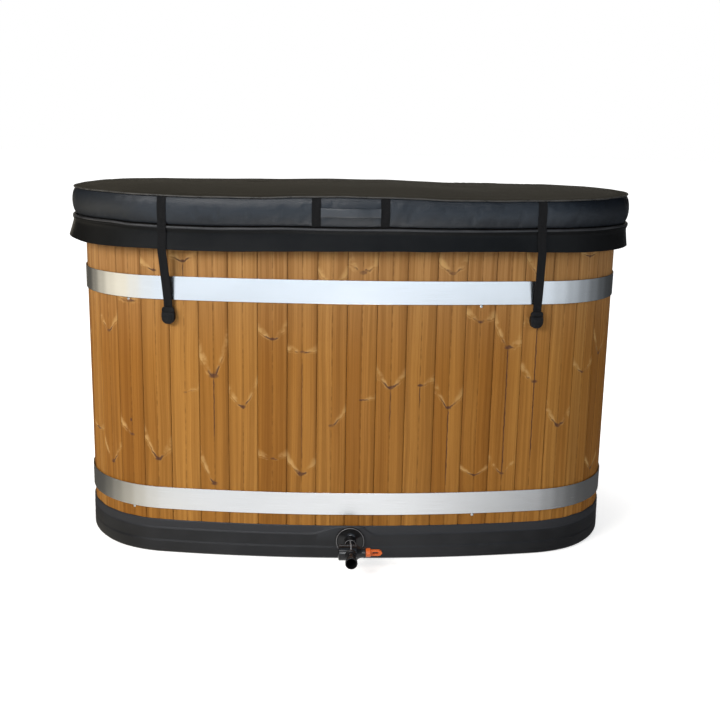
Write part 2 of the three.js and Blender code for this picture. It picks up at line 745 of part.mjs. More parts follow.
function strapLine(point) {
  const side = COVER_OVERHANG + COVER_BULGE + webStand;
  const roll = COVER_OVERHANG + SKIRT_ROLL + webStand;
  const hem = COVER_OVERHANG + SKIRT_FLARE + webStand;
  const skirtHeight = skirtTop - skirtBottom;
  return [
    [side, coverEdge(point) - WEB_THICKNESS],
    [side, coverSeam + SKIRT_ROLL],
    [roll + WEB_THICKNESS, skirtTop - 0.1 * skirtHeight],
    [roll + WEB_THICKNESS, skirtTop - 0.3 * skirtHeight],
    [hem + WEB_THICKNESS, skirtBottom],
    [hem, skirtBottom - SKIRT_ROLL],
    [bladeOut, CLIP_TOP + WEB_INSERT],
    [bladeOut, CLIP_TOP - WEB_INSERT],
  ];
}

// Slot for the web or the blade, with its clearance all round
function clipSlot(width, thickness, clearance, bottom, top) {
  const half = width / 2 + clearance;
  const depth = thickness / 2 + clearance;
  return box(-half, half, -bladeOut - depth, -bladeOut + depth, bottom, top);
}

function tongueGeometry() {
  const half = TONGUE_WIDTH / 2;
  const body = box(-half, half, -tongueBack - TONGUE_DEPTH, -tongueBack, tongueBottom, CLIP_TOP);
  const near = bladeOut - BLADE_THICKNESS / 2;
  const bladeEnd = tongueBottom - BLADE_LENGTH;
  const halfBlade = BLADE_WIDTH / 2;
  const blade = box(-halfBlade, halfBlade, -near - BLADE_THICKNESS, -near, bladeEnd, tongueBottom + OVERLAP);
  const slotEnd = CLIP_TOP - WEB_INSERT - GAP;
  const slot = clipSlot(WEB_WIDTH, WEB_THICKNESS, GAP, slotEnd, CLIP_TOP + OVERLAP);
  return combine(body, { add: [blade], cut: [slot] });
}

// Socket: a block on the timber with a round foot, open at the top for the tongue's blade
function socketGeometry() {
  const half = SOCKET_WIDTH / 2;
  const foot = socketTop - SOCKET_HEIGHT;
  const shape = new THREE.Shape();
  shape.moveTo(-half, socketTop);
  shape.lineTo(-half, foot + SOCKET_ROUND);
  shape.absarc(-half + SOCKET_ROUND, foot + SOCKET_ROUND, SOCKET_ROUND, Math.PI, 1.5 * Math.PI, false);
  shape.absarc(half - SOCKET_ROUND, foot + SOCKET_ROUND, SOCKET_ROUND, 1.5 * Math.PI, 2 * Math.PI, false);
  shape.lineTo(half, socketTop);
  const depth = bladeOut + SOCKET_FACE - GAP;
  const options = { depth, bevelEnabled: false, curveSegments: SMALL_STEPS / 2 };
  const block = new THREE.ExtrudeGeometry(shape, options);
  block.rotateX(Math.PI / 2).translate(0, -GAP, 0);
  const slotEnd = tongueBottom - BLADE_LENGTH - SLOT_CLEARANCE;
  const slot = clipSlot(BLADE_WIDTH, BLADE_THICKNESS, SLOT_CLEARANCE, slotEnd, socketTop + OVERLAP);
  return combine(block, { cut: [slot] });
}

function buildStraps() {
  const places = {
    front_right: STRAP_REACH,
    back_right: perimeter / 2 - STRAP_REACH,
    back_left: perimeter / 2 + STRAP_REACH,
    front_left: perimeter - STRAP_REACH,
  };
  for (const [name, distance] of Object.entries(places)) {
    const group = outlineGroup(distance);
    const line = strapLine(outlinePoint(distance));
    addPiece(group, `${name}_strap`, ribbonGeometry(line, WEB_THICKNESS, WEB_WIDTH), 'webbing');
    addPiece(group, `${name}_clip_tongue`, tongueGeometry(), 'blackPlastic');
    addPiece(group, `${name}_clip_socket`, socketGeometry(), 'blackPlastic');
  }
}

// Handle: two webbing uprights on the cover's front, with a padded grip bowed out between them

function buildHandle() {
  const side = COVER_OVERHANG + COVER_BULGE + webStand;
  const top = coverEdge(outlinePoint(HANDLE_CENTRE)) - WEB_THICKNESS;
  const upright = [[side, top], [side, coverSeam + WEB_THICKNESS]];
  for (const [name, sign] of [['left', -1], ['right', 1]]) {
    const web = ribbonGeometry(upright, WEB_THICKNESS, WEB_WIDTH);
    const place = outlineGroup(HANDLE_CENTRE + (sign * HANDLE_SPACING) / 2);
    addPiece(place, `handle_${name}_upright`, web, 'webbing');
  }
  const half = (HANDLE_SPACING - WEB_WIDTH) / 2 - GAP;
  const ends = side - WEB_THICKNESS / 2 - half ** 2 / (2 * sideRadius);
  const near = half * GRIP_MIDDLE_PULL;
  const far = half * GRIP_END_PULL;
  const inner = ends + GRIP_BOW;
  const outerEnds = ends + GRIP_THICKNESS;
  const outer = inner + GRIP_THICKNESS;
  const shape = new THREE.Shape();
  shape.moveTo(-half, ends);
  shape.bezierCurveTo(-far, ends, -near, inner, 0, inner);
  shape.bezierCurveTo(near, inner, far, ends, half, ends);
  shape.lineTo(half, outerEnds);
  shape.bezierCurveTo(far, outerEnds, near, outer, 0, outer);
  shape.bezierCurveTo(-near, outer, -far, outerEnds, -half, outerEnds);
  shape.lineTo(-half, ends);
  const options = { depth: GRIP_HEIGHT, bevelEnabled: false, curveSegments: SMALL_STEPS };
  const grip = new THREE.ExtrudeGeometry(shape, options);
  grip.rotateX(Math.PI).translate(0, 0, RIM_HEIGHT + GRIP_MIDDLE + GRIP_HEIGHT / 2);
  addPiece(outlineGroup(HANDLE_CENTRE), 'handle_grip', grip, 'vinyl');
}

// Drain: strainer in the floor, pipe under it, flange with a sleeve on the tray and a plug valve in front

const gasketStart = halfWidth + BOSS_STANDOFF + GAP;
const flangeStart = gasketStart + GASKET_THICKNESS + GAP;
const pipeEnd = flangeStart + FLANGE_SOCKET_DEPTH;
const sleeveStart = flangeStart + FLANGE_THICKNESS;
const sleeveEnd = sleeveStart + SLEEVE_LENGTH;
const valveStart = sleeveEnd + GAP;
const valveAxis = halfWidth + VALVE_REACH;
const outletFace = valveAxis + BARREL_DIAMETER / 2 + OUTLET_BOSS_LENGTH;
const pipeBore = PIPE_DIAMETER - 2 * PIPE_WALL;

function strainerGeometry() {
  const outer = STRAINER_DIAMETER / 2;
  const spigot = (pipeBore / 2) * Math.cos(Math.PI / PIPE_SIDES) - GAP;
  const bore = spigot - PIPE_WALL;
  const top = floorTop + GAP + STRAINER_THICKNESS;
  const profile = [
    [0, top],
    [outer - STRAINER_THICKNESS, top],
    [outer, floorTop + GAP],
    [spigot, floorTop + GAP],
    [spigot, bendTop + GAP],
    [bore, bendTop + GAP],
    [bore, floorTop + GAP],
    [0, floorTop + GAP],
  ].map(([radius, height]) => new THREE.Vector2(radius, height)).reverse();
  const disc = new THREE.LatheGeometry(profile, ROUND_STEPS).rotateX(Math.PI / 2);
  const holes = [];
  const holeRing = bore - STRAINER_HOLE;
  for (let i = 0; i < STRAINER_HOLES; i++) {
    const angle = (2 * Math.PI * i) / STRAINER_HOLES;
    const hole = cylinderUp(STRAINER_HOLE, floorTop - OVERLAP, top + OVERLAP, SMALL_STEPS);
    holes.push(hole.translate(holeRing * Math.cos(angle), holeRing * Math.sin(angle), 0));
  }
  return combine(disc, { cut: holes });
}

function buildDrain() {
  addPiece(tub, 'drain_pipe', pipeAlong(pipeRoute(), PIPE_DIAMETER, pipeBore), 'blackPlastic');
  addPiece(tub, 'drain_strainer', strainerGeometry(), 'blackPlastic').position.y = drainY;

  const drain = new THREE.Group();
  drain.position.z = DRAIN_HEIGHT;
  tub.add(drain);
  const bore = PIPE_DIAMETER + 2 * GAP;
  const gasket = cylinderFront(FLANGE_DIAMETER, gasketStart, gasketStart + GASKET_THICKNESS);
  const socket = cylinderFront(bore, gasketStart - OVERLAP, pipeEnd + GAP);
  addPiece(drain, 'drain_gasket', combine(gasket, { cut: [socket] }), 'rubber');

  const rimStart = flangeStart + FLANGE_THICKNESS / 2;
  const disc = cylinderFront(FLANGE_DIAMETER, flangeStart, rimStart);
  const faceDiameter = FLANGE_DIAMETER - FLANGE_THICKNESS;
  const dish = cylinderFront(FLANGE_DIAMETER, rimStart, sleeveStart, ROUND_STEPS, faceDiameter);
  const sleeve = cylinderFront(SLEEVE_DIAMETER, sleeveStart - OVERLAP, sleeveEnd);
  const flow = cylinderFront(FLOW_BORE, pipeEnd, sleeveEnd + OVERLAP);
  const flange = combine(disc, { add: [dish, sleeve], cut: [socket, flow] });
  addPiece(drain, 'drain_flange', flange, 'blackPlastic');
}

function valveBodyGeometry() {
  const noseStart = BARREL_SHOULDER + BARREL_TAPER;
  const barrel = cylinderX(BARREL_DIAMETER, -BARREL_LEFT, BARREL_SHOULDER).translate(0, -valveAxis, 0);
  const taper = cylinderX(BARREL_DIAMETER, BARREL_SHOULDER, noseStart, ROUND_STEPS, NOSE_DIAMETER);
  taper.translate(0, -valveAxis, 0);
  const nose = cylinderX(NOSE_DIAMETER, noseStart - OVERLAP, BARREL_RIGHT).translate(0, -valveAxis, 0);
  const neck = cylinderFront(NECK_DIAMETER, valveStart, valveAxis);
  const boss = cylinderFront(OUTLET_BOSS, valveAxis, outletFace);
  const plugBore = PLUG_DIAMETER + 2 * GAP;
  const plugHole = cylinderX(plugBore, BARREL_END_WALL - BARREL_LEFT, BARREL_RIGHT + OVERLAP);
  plugHole.translate(0, -valveAxis, 0);
  const flow = cylinderFront(FLOW_BORE, valveStart - OVERLAP, outletFace + OVERLAP);
  const socketEnd = outletFace - OUTLET_SOCKET_DEPTH;
  const socket = cylinderFront(OUTLET_SOCKET + 2 * GAP, socketEnd, outletFace + OVERLAP);
  return combine(barrel, { add: [taper, nose, neck, boss], cut: [plugHole, flow, socket] });
}

// Plug at rest is shut: its bore stands upright across the flow
function plugGeometry() {
  const plug = cylinderX(PLUG_DIAMETER, BARREL_END_WALL - BARREL_LEFT + GAP, BARREL_RIGHT);
  const stem = cylinderX(STEM_DIAMETER, BARREL_RIGHT - OVERLAP, BARREL_RIGHT + STEM_LENGTH, SMALL_STEPS);
  const bore = cylinderUp(PLUG_BORE, -BARREL_DIAMETER, BARREL_DIAMETER);
  return combine(plug, { add: [stem], cut: [bore] });
}

function keyGeometry() {
  const start = BARREL_RIGHT + GAP;
  const collarEnd = start + KEY_COLLAR_LENGTH;
  const collar = cylinderX(KEY_COLLAR_DIAMETER, start, collarEnd);
  const stemEnd = BARREL_RIGHT + STEM_LENGTH + GAP;
  const stemHole = cylinderX(STEM_DIAMETER + 2 * GAP, start - OVERLAP, stemEnd, SMALL_STEPS);
  const round = KEY_HEIGHT / 2;
  const end = collarEnd + KEY_LENGTH;
  const shape = new THREE.Shape();
  shape.moveTo(collarEnd - OVERLAP, -round);
  shape.lineTo(end - round, -round);
  shape.absarc(end - round, 0, round, -Math.PI / 2, Math.PI / 2, false);
  shape.lineTo(collarEnd - OVERLAP, round);
  const slotRound = KEY_SLOT_HEIGHT / 2;
  const slotMiddle = end - KEY_RIM - KEY_SLOT_LENGTH / 2;
  const slotRun = (KEY_SLOT_LENGTH - KEY_SLOT_HEIGHT) / 2;
  const slot = new THREE.Path();
  slot.absarc(slotMiddle + slotRun, 0, slotRound, -Math.PI / 2, Math.PI / 2, false);
  slot.absarc(slotMiddle - slotRun, 0, slotRound, Math.PI / 2, 1.5 * Math.PI, false);
  slot.closePath();
  shape.holes.push(slot);
  const options = { depth: KEY_THICKNESS, bevelEnabled: false, curveSegments: SMALL_STEPS };
  const loop = new THREE.ExtrudeGeometry(shape, options);
  loop.rotateX(Math.PI / 2).translate(0, KEY_THICKNESS / 2, 0);
  return combine(collar, { add: [loop], cut: [stemHole] });
}

// Outlet: a spigot that plugs into the valve and widens to its open mouth
function outletGeometry() {
  const start = outletFace + GAP;
  const plugIn = OUTLET_SOCKET / 2;
  const bore = FLOW_BORE / 2;
  const mouthBore = (OUTLET_MOUTH - OUTLET_SOCKET + FLOW_BORE) / 2;
  const profile = [
    [bore, start - OUTLET_SOCKET_DEPTH],
    [plugIn, start - OUTLET_SOCKET_DEPTH],
    [plugIn, start],
    [OUTLET_NECK / 2, start],
    [OUTLET_MOUTH / 2, start + OUTLET_LENGTH],
    [mouthBore, start + OUTLET_LENGTH],
    [bore, start],
    [bore, start - OUTLET_SOCKET_DEPTH],
  ].map(([radius, reach]) => new THREE.Vector2(radius, reach));
  return new THREE.LatheGeometry(profile, ROUND_STEPS).rotateZ(Math.PI);
}

function buildValve() {
  const valve = new THREE.Group();
  valve.position.z = DRAIN_HEIGHT;
  tub.add(valve);
  addPiece(valve, 'valve_body', valveBodyGeometry(), 'blackPlastic');
  addPiece(valve, 'valve_plug', plugGeometry(), 'blackPlastic').position.y = -valveAxis;
  addPiece(valve, 'valve_key', keyGeometry(), 'orangePlastic').position.y = -valveAxis;
  addPiece(valve, 'valve_outlet', outletGeometry(), 'blackPlastic');
}

buildBaseTray();
buildInsulation();
buildInnerTub();
buildTimber();
buildBand('upper', UPPER_BAND_BOTTOM);
buildBand('lower', LOWER_BAND_BOTTOM);
buildBandScrews();
buildCover();
buildSkirt();
buildStraps();
buildHandle();
buildDrain();
buildValve();

export default tub;
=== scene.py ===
import math
import random

import bmesh
import bpy
from mathutils import Matrix, Vector, noise


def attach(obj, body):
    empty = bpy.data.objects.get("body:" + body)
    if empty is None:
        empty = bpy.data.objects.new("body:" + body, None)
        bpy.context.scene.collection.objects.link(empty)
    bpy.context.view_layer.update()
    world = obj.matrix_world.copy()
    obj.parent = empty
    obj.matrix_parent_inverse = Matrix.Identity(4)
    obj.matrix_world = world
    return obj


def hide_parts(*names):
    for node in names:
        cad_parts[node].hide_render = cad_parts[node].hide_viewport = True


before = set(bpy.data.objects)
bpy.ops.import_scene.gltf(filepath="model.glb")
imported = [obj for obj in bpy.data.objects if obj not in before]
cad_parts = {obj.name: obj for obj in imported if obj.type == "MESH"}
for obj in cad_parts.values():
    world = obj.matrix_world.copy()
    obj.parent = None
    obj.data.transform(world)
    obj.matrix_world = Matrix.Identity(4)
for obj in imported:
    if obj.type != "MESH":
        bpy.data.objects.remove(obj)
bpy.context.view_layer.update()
scene = bpy.context.scene
scene.view_settings.view_transform = "Standard"
print("frame loaded with", len(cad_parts), "nodes")

# plan of the tub, the same numbers as its solids, in metres
tubPlan = {
    "length": 1.630,
    "endRadius": 0.305,
    "endFlat": 0.058,
    "sideBow": 0.041,
    "baseHeight": 0.102,
    "rimHeight": 0.985,
}
endRadius = tubPlan["endRadius"]
flatHalf = tubPlan["endFlat"] / 2
rimHeight = tubPlan["rimHeight"]
cornerX = tubPlan["length"] / 2 - endRadius
halfWidth = endRadius + tubPlan["sideBow"] + flatHalf
bowReach = (cornerX ** 2 + tubPlan["sideBow"] ** 2) / (2 * tubPlan["sideBow"])
sideRadius = bowReach + endRadius
sideAngle = math.asin(cornerX / bowReach)
cornerAngle = math.pi / 2 - sideAngle
sideCentre = sideRadius - halfWidth

# stretches from the front middle towards +X: x, y, radius, first normal, length
stretches = [
    (0, sideCentre, sideRadius, -math.pi / 2, sideRadius * sideAngle),
    (cornerX, -flatHalf, endRadius, -cornerAngle, endRadius * cornerAngle),
    (cornerX + endRadius, -flatHalf, 0, 0, 2 * flatHalf),
    (cornerX, flatHalf, endRadius, 0, endRadius * cornerAngle),
    (0, -sideCentre, sideRadius, cornerAngle, 2 * sideRadius * sideAngle),
    (-cornerX, flatHalf, endRadius, cornerAngle + 2 * sideAngle, endRadius * cornerAngle),
    (-cornerX - endRadius, flatHalf, 0, math.pi, 2 * flatHalf),
    (-cornerX, -flatHalf, endRadius, math.pi, endRadius * cornerAngle),
    (0, sideCentre, sideRadius, math.pi + cornerAngle, sideRadius * sideAngle),
]
outlineLength = sum(part[4] for part in stretches)


def outlineAt(distance):
    left = distance % outlineLength
    for x, y, radius, start, run in stretches:
        if left <= run:
            turn = start + (left / radius if radius else 0)
            out = Vector((math.cos(turn), math.sin(turn), 0))
            slide = 0 if radius else left
            return Vector((x, y, 0)) + out * radius + Vector((-out.y, out.x, 0)) * slide, out
        left -= run
    return outlineAt(0)


def wallPoint(distance, offset, height):
    spot, out = outlineAt(distance)
    spot = spot + out * offset
    spot.z = height
    return spot


def ease(value, low, high):
    share = min(max((value - low) / (high - low), 0), 1)
    return share * share * (3 - 2 * share)


# node helpers

def calc(tree, operation, *values, clamp=False):
    node = tree.nodes.new("ShaderNodeMath")
    node.operation = operation
    node.use_clamp = clamp
    for place, value in enumerate(values):
        if isinstance(value, (int, float)):
            node.inputs[place].default_value = value
        else:
            tree.links.new(value, node.inputs[place])
    return node.outputs[0]


def remap(tree, value, low, high, first=0.0, last=1.0):
    node = tree.nodes.new("ShaderNodeMapRange")
    node.interpolation_type = "SMOOTHSTEP"
    for place, number in zip(("From Min", "From Max", "To Min", "To Max"), (low, high, first, last)):
        node.inputs[place].default_value = number
    tree.links.new(value, node.inputs["Value"])
    return node.outputs["Result"]


def mixColour(tree, amount, first, second, mode="MIX"):
    node = tree.nodes.new("ShaderNodeMix")
    node.data_type = "RGBA"
    node.blend_type = mode
    for place, value in ((0, amount), (6, first), (7, second)):
        if isinstance(value, (int, float)):
            node.inputs[place].default_value = value
        elif isinstance(value, tuple):
            node.inputs[place].default_value = (*value, 1)
        else:
            tree.links.new(value, node.inputs[place])
    return node.outputs[2]


def joinXyz(tree, x, y, z=0.0):
    node = tree.nodes.new("ShaderNodeCombineXYZ")
    for place, value in enumerate((x, y, z)):
        if isinstance(value, (int, float)):
            node.inputs[place].default_value = value
        else:
            tree.links.new(value, node.inputs[place])
    return node.outputs[0]


def splitXyz(tree, vector):
    node = tree.nodes.new("ShaderNodeSeparateXYZ")
    tree.links.new(vector, node.inputs[0])
    return node.outputs[0], node.outputs[1], node.outputs[2]


def noiseOf(tree, vector, scale, detail=2.0, rough=0.5):
    node = tree.nodes.new("ShaderNodeTexNoise")
    node.inputs["Scale"].default_value = scale
    node.inputs["Detail"].default_value = detail
    node.inputs["Roughness"].default_value = rough
    tree.links.new(vector, node.inputs["Vector"])
    return node.outputs["Fac"]


def cellsOf(tree, vector, scale, feature="F1"):
    node = tree.nodes.new("ShaderNodeTexVoronoi")
    node.feature = feature
    node.inputs["Scale"].default_value = scale
    tree.links.new(vector, node.inputs["Vector"])
    return node


def randomOf(tree, value):
    node = tree.nodes.new("ShaderNodeTexWhiteNoise")
    node.noise_dimensions = "1D"
    tree.links.new(value, node.inputs["W"])
    return node.outputs["Value"]


def newGroup(name, inputs, outputs):
    group = bpy.data.node_groups.new(name, "ShaderNodeTree")
    for label, kind, value in inputs:
        socket = group.interface.new_socket(name=label, in_out="INPUT", socket_type=kind)
        if value is not None:
            socket.default_value = value
    for label, kind in outputs:
        group.interface.new_socket(name=label, in_out="OUTPUT", socket_type=kind)
    return group, group.nodes.new("NodeGroupInput").outputs, group.nodes.new("NodeGroupOutput").inputs


def placeGroup(tree, group, **values):
    node = tree.nodes.new("ShaderNodeGroup")
    node.node_tree = group
    for label, value in values.items():
        if isinstance(value, bpy.types.NodeSocket):
            tree.links.new(value, node.inputs[label])
        else:
            node.inputs[label].default_value = value
    return node.outputs


def newMaterial(name, **plain):
    material = bpy.data.materials.new(name)
    material.use_nodes = True
    tree = material.node_tree
    shader = tree.nodes["Principled BSDF"]
    for label, value in plain.items():
        shader.inputs[label.replace("_", " ")].default_value = value
    return material, tree, shader


def addBump(tree, shader, height, strength, distance):
    bump = tree.nodes.new("ShaderNodeBump")
    bump.inputs["Strength"].default_value = strength
    bump.inputs["Distance"].default_value = distance
    tree.links.new(height, bump.inputs["Height"])
    tree.links.new(bump.outputs["Normal"], shader.inputs["Normal"])


def objectPlace(tree):
    return tree.nodes.new("ShaderNodeTexCoord").outputs["Object"]


def uvPlace(tree, name):
    node = tree.nodes.new("ShaderNodeUVMap")
    node.uv_map = name
    return node.outputs["UV"]


def attributeOf(tree, name, output="Fac"):
    node = tree.nodes.new("ShaderNodeAttribute")
    node.attribute_name = name
    return node.outputs[output]


# shared effects

# fine pitted surface and slow blotches, for moulded plastic and coated cloth
def pittedGroup():
    group, given, out = newGroup("pittedSurface", [
        ("Place", "NodeSocketVector", None),
        ("Pit Scale", "NodeSocketFloat", 900.0),
        ("Blotch Scale", "NodeSocketFloat", 9.0),
    ], [("Height", "NodeSocketFloat"), ("Blotch", "NodeSocketFloat")])
    cells = group.nodes.new("ShaderNodeTexVoronoi")
    group.links.new(given["Place"], cells.inputs["Vector"])
    group.links.new(given["Pit Scale"], cells.inputs["Scale"])
    fine = group.nodes.new("ShaderNodeTexNoise")
    fine.inputs["Detail"].default_value = 3
    group.links.new(given["Place"], fine.inputs["Vector"])
    group.links.new(calc(group, "MULTIPLY", given["Pit Scale"], 0.35), fine.inputs["Scale"])
    height = calc(group, "MULTIPLY_ADD", fine.outputs["Fac"], 0.6, cells.outputs["Distance"])
    group.links.new(height, out["Height"])
    slow = group.nodes.new("ShaderNodeTexNoise")
    slow.inputs["Detail"].default_value = 4
    group.links.new(given["Place"], slow.inputs["Vector"])
    group.links.new(given["Blotch Scale"], slow.inputs["Scale"])
    group.links.new(remap(group, slow.outputs["Fac"], 0.3, 0.7), out["Blotch"])
    return group


# one pair of wing knots on a board: pale wings that sweep up from the middle, over short dark strokes
def wingKnotGroup():
    group, given, out = newGroup("wingKnot", [
        ("Across", "NodeSocketFloat", 0.0),
        ("Height", "NodeSocketFloat", 0.0),
        ("Knot", "NodeSocketVector", None),
        ("Size", "NodeSocketFloat", 1.0),
        ("Wobble", "NodeSocketFloat", 0.5),
        ("Patch", "NodeSocketFloat", 0.5),
    ], [("Pale", "NodeSocketFloat"), ("Dark", "NodeSocketFloat")])
    centre, leftSlope, rightSlope = splitXyz(group, given["Knot"])
    side = calc(group, "ABSOLUTE", given["Across"])
    isRight = calc(group, "GREATER_THAN", given["Across"], 0.0)
    slope = calc(group, "MULTIPLY_ADD", calc(group, "SUBTRACT", rightSlope, leftSlope), isRight, leftSlope)
    present = calc(group, "GREATER_THAN", given["Size"], 0.05)
    shown = calc(group, "MULTIPLY", calc(group, "GREATER_THAN", slope, -2.0), present)
    bowl = calc(group, "DIVIDE", calc(group, "MULTIPLY", side, side), calc(group, "ADD", side, 0.010))
    lift = calc(group, "SUBTRACT", given["Height"], centre)
    away = calc(group, "SUBTRACT", lift, calc(group, "MULTIPLY", calc(group, "MULTIPLY", slope, bowl), 1.25))
    away = calc(group, "DIVIDE", away, calc(group, "MAXIMUM", given["Size"], 0.05))
    away = calc(group, "MULTIPLY_ADD", calc(group, "SUBTRACT", given["Wobble"], 0.5), 0.017, away)
    # the wing is a wedge, tall at the board's edge and thin at the heart
    wedge = calc(group, "DIVIDE", away, calc(group, "MULTIPLY_ADD", side, 0.92, 0.004))
    over = calc(group, "MULTIPLY", remap(group, wedge, 1.0, 0.1), remap(group, away, -0.0016, 0.0016))
    below = calc(group, "ABSOLUTE", calc(group, "ADD", away, 0.0052))
    under = calc(group, "MULTIPLY", remap(group, below, 0.0042, 0.0006), 0.45)
    pale = calc(group, "MULTIPLY", calc(group, "MAXIMUM", over, under), remap(group, side, 0.001, 0.016))
    pale = calc(group, "MULTIPLY", pale, remap(group, given["Patch"], 0.33, 0.60, 0.05, 1.0))
    pale = calc(group, "MULTIPLY", pale, calc(group, "MULTIPLY_ADD", isRight, -0.3, 1.0))
    group.links.new(calc(group, "MULTIPLY", pale, shown), out["Pale"])
    # the stroke is thick at the heart and breaks up towards its tip
    thick = calc(group, "MULTIPLY_ADD", side, -0.12, 0.0064)
    stroke = remap(group, calc(group, "DIVIDE", calc(group, "ABSOLUTE", away), thick), 1.0, 0.25)
    stroke = calc(group, "MULTIPLY", stroke, remap(group, side, 0.032, 0.012))
    stroke = calc(group, "MULTIPLY", stroke, remap(group, given["Patch"], 0.38, 0.56))
    stroke = calc(group, "MULTIPLY", stroke, shown)
    wide = calc(group, "DIVIDE", side, calc(group, "MULTIPLY_ADD", given["Size"], 0.006, 0.003))
    tall = calc(group, "DIVIDE", lift, calc(group, "MULTIPLY_ADD", given["Size"], 0.0034, 0.0014))
    heart = calc(group, "ADD", calc(group, "MULTIPLY", wide, wide), calc(group, "MULTIPLY", tall, tall))
    heart = calc(group, "MULTIPLY", remap(group, heart, 1.6, 0.1), present)
    heart = calc(group, "MULTIPLY", heart, remap(group, given["Patch"], 0.25, 0.6, 0.35, 1.0))
    group.links.new(calc(group, "MAXIMUM", stroke, heart), out["Dark"])
    return group


# lengthwise grain of one board
def boardGrainGroup():
    group, given, out = newGroup("boardGrain", [
        ("Across", "NodeSocketFloat", 0.0),
        ("Height", "NodeSocketFloat", 0.0),
        ("Seed", "NodeSocketFloat", 0.0),
    ], [("Tone", "NodeSocketFloat"), ("Streaks", "NodeSocketFloat"), ("Lines", "NodeSocketFloat"),
        ("Pins", "NodeSocketFloat")])
    shift = calc(group, "MULTIPLY", given["Seed"], 37.0)
    isRight = calc(group, "GREATER_THAN", given["Across"], 0.0)
    halfSeed = calc(group, "ADD", shift, isRight)

    def stretched(acrossScale, heightScale, place, seed, detail, rough=0.5):
        spot = joinXyz(group, calc(group, "MULTIPLY", place, acrossScale),
                       calc(group, "MULTIPLY", given["Height"], heightScale), seed)
        return noiseOf(group, spot, 1.0, detail, rough)

    tone = calc(group, "MULTIPLY", randomOf(group, shift), 0.42)
    tone = calc(group, "MULTIPLY_ADD", randomOf(group, halfSeed), 0.46, tone)
    tone = calc(group, "MULTIPLY_ADD", stretched(12.0, 1.7, given["Across"], halfSeed, 2.0), 0.5, tone)
    group.links.new(calc(group, "SUBTRACT", tone, 0.17), out["Tone"])
    lean = stretched(0.0, 2.0, given["Across"], shift, 1.0)
    bent = calc(group, "MULTIPLY_ADD", lean, 0.022, given["Across"])
    group.links.new(remap(group, stretched(85.0, 0.9, bent, halfSeed, 2.0, 0.55), 0.34, 0.68), out["Streaks"])
    rings = stretched(330.0, 1.8, bent, halfSeed, 2.0, 0.6)
    fibres = stretched(1100.0, 16.0, bent, shift, 3.0, 0.6)
    lines = calc(group, "MULTIPLY_ADD", rings, 0.62, calc(group, "MULTIPLY", fibres, 0.38))
    group.links.new(remap(group, lines, 0.34, 0.68), out["Lines"])
    cells = cellsOf(group, joinXyz(group, calc(group, "MULTIPLY", given["Across"], 17.0),
                                   calc(group, "MULTIPLY", given["Height"], 9.0), shift), 1.0)
    pinPick = splitXyz(group, cells.outputs["Color"])[0]
    pins = calc(group, "MULTIPLY", remap(group, cells.outputs["Distance"], 0.075, 0.035),
                calc(group, "GREATER_THAN", pinPick, 0.9))
    group.links.new(pins, out["Pins"])
    return group


# brushed lines along a strip
def brushedGroup():
    group, given, out = newGroup("brushedLines", [
        ("Along", "NodeSocketFloat", 0.0),
        ("Across", "NodeSocketFloat", 0.0),
    ], [("Streak", "NodeSocketFloat"), ("Smudge", "NodeSocketFloat")])
    lines = noiseOf(group, joinXyz(group, calc(group, "MULTIPLY", given["Along"], 9.0),
                                   calc(group, "MULTIPLY", given["Across"], 2600.0)), 1.0, 3.0, 0.7)
    group.links.new(remap(group, lines, 0.3, 0.7), out["Streak"])
    smear = noiseOf(group, joinXyz(group, calc(group, "MULTIPLY", given["Along"], 7.0),
                                   calc(group, "MULTIPLY", given["Across"], 24.0)), 1.0, 4.0)
    group.links.new(remap(group, smear, 0.35, 0.75), out["Smudge"])
    return group


# plain weave of flat webbing, with a ribbed face
def webbingGroup():
    group, given, out = newGroup("webWeave", [
        ("Across", "NodeSocketFloat", 0.0),
        ("Along", "NodeSocketFloat", 0.0),
    ], [("Height", "NodeSocketFloat"), ("Shade", "NodeSocketFloat")])
    ribs = calc(group, "SINE", calc(group, "MULTIPLY", given["Across"], 2 * math.pi / 0.0021))
    phase = calc(group, "MULTIPLY", calc(group, "SIGN", ribs), 0.5 * math.pi)
    picks = calc(group, "SINE", calc(group, "MULTIPLY_ADD", given["Along"], 2 * math.pi / 0.0026, phase))
    weave = calc(group, "MULTIPLY", calc(group, "ABSOLUTE", ribs), calc(group, "MULTIPLY_ADD", picks, 0.35, 0.65))
    group.links.new(weave, out["Height"])
    worn = noiseOf(group, joinXyz(group, calc(group, "MULTIPLY", given["Across"], 90.0),
                                  calc(group, "MULTIPLY", given["Along"], 12.0)), 1.0, 3.0)
    group.links.new(calc(group, "MULTIPLY", weave, remap(group, worn, 0.25, 0.75, 0.55, 1.0)), out["Shade"])
    return group


pittedSurface = pittedGroup()
wingKnot = wingKnotGroup()
boardGrain = boardGrainGroup()
brushedLines = brushedGroup()
webWeave = webbingGroup()

# materials

timberFinish = {
    "dark": (0.130, 0.045, 0.007),
    "mid": (0.285, 0.120, 0.022),
    "light": (0.425, 0.205, 0.048),
    "cream": (0.600, 0.380, 0.150),
    "paleTop": (0.43, 0.258, 0.118),
    "heart": (0.062, 0.030, 0.027),
    # colour of the painted shade in the seams, towards the board edges and in the middle groove
    "seam": (0.055, 0.020, 0.006),
    "bumpDepth": 0.0006,
}


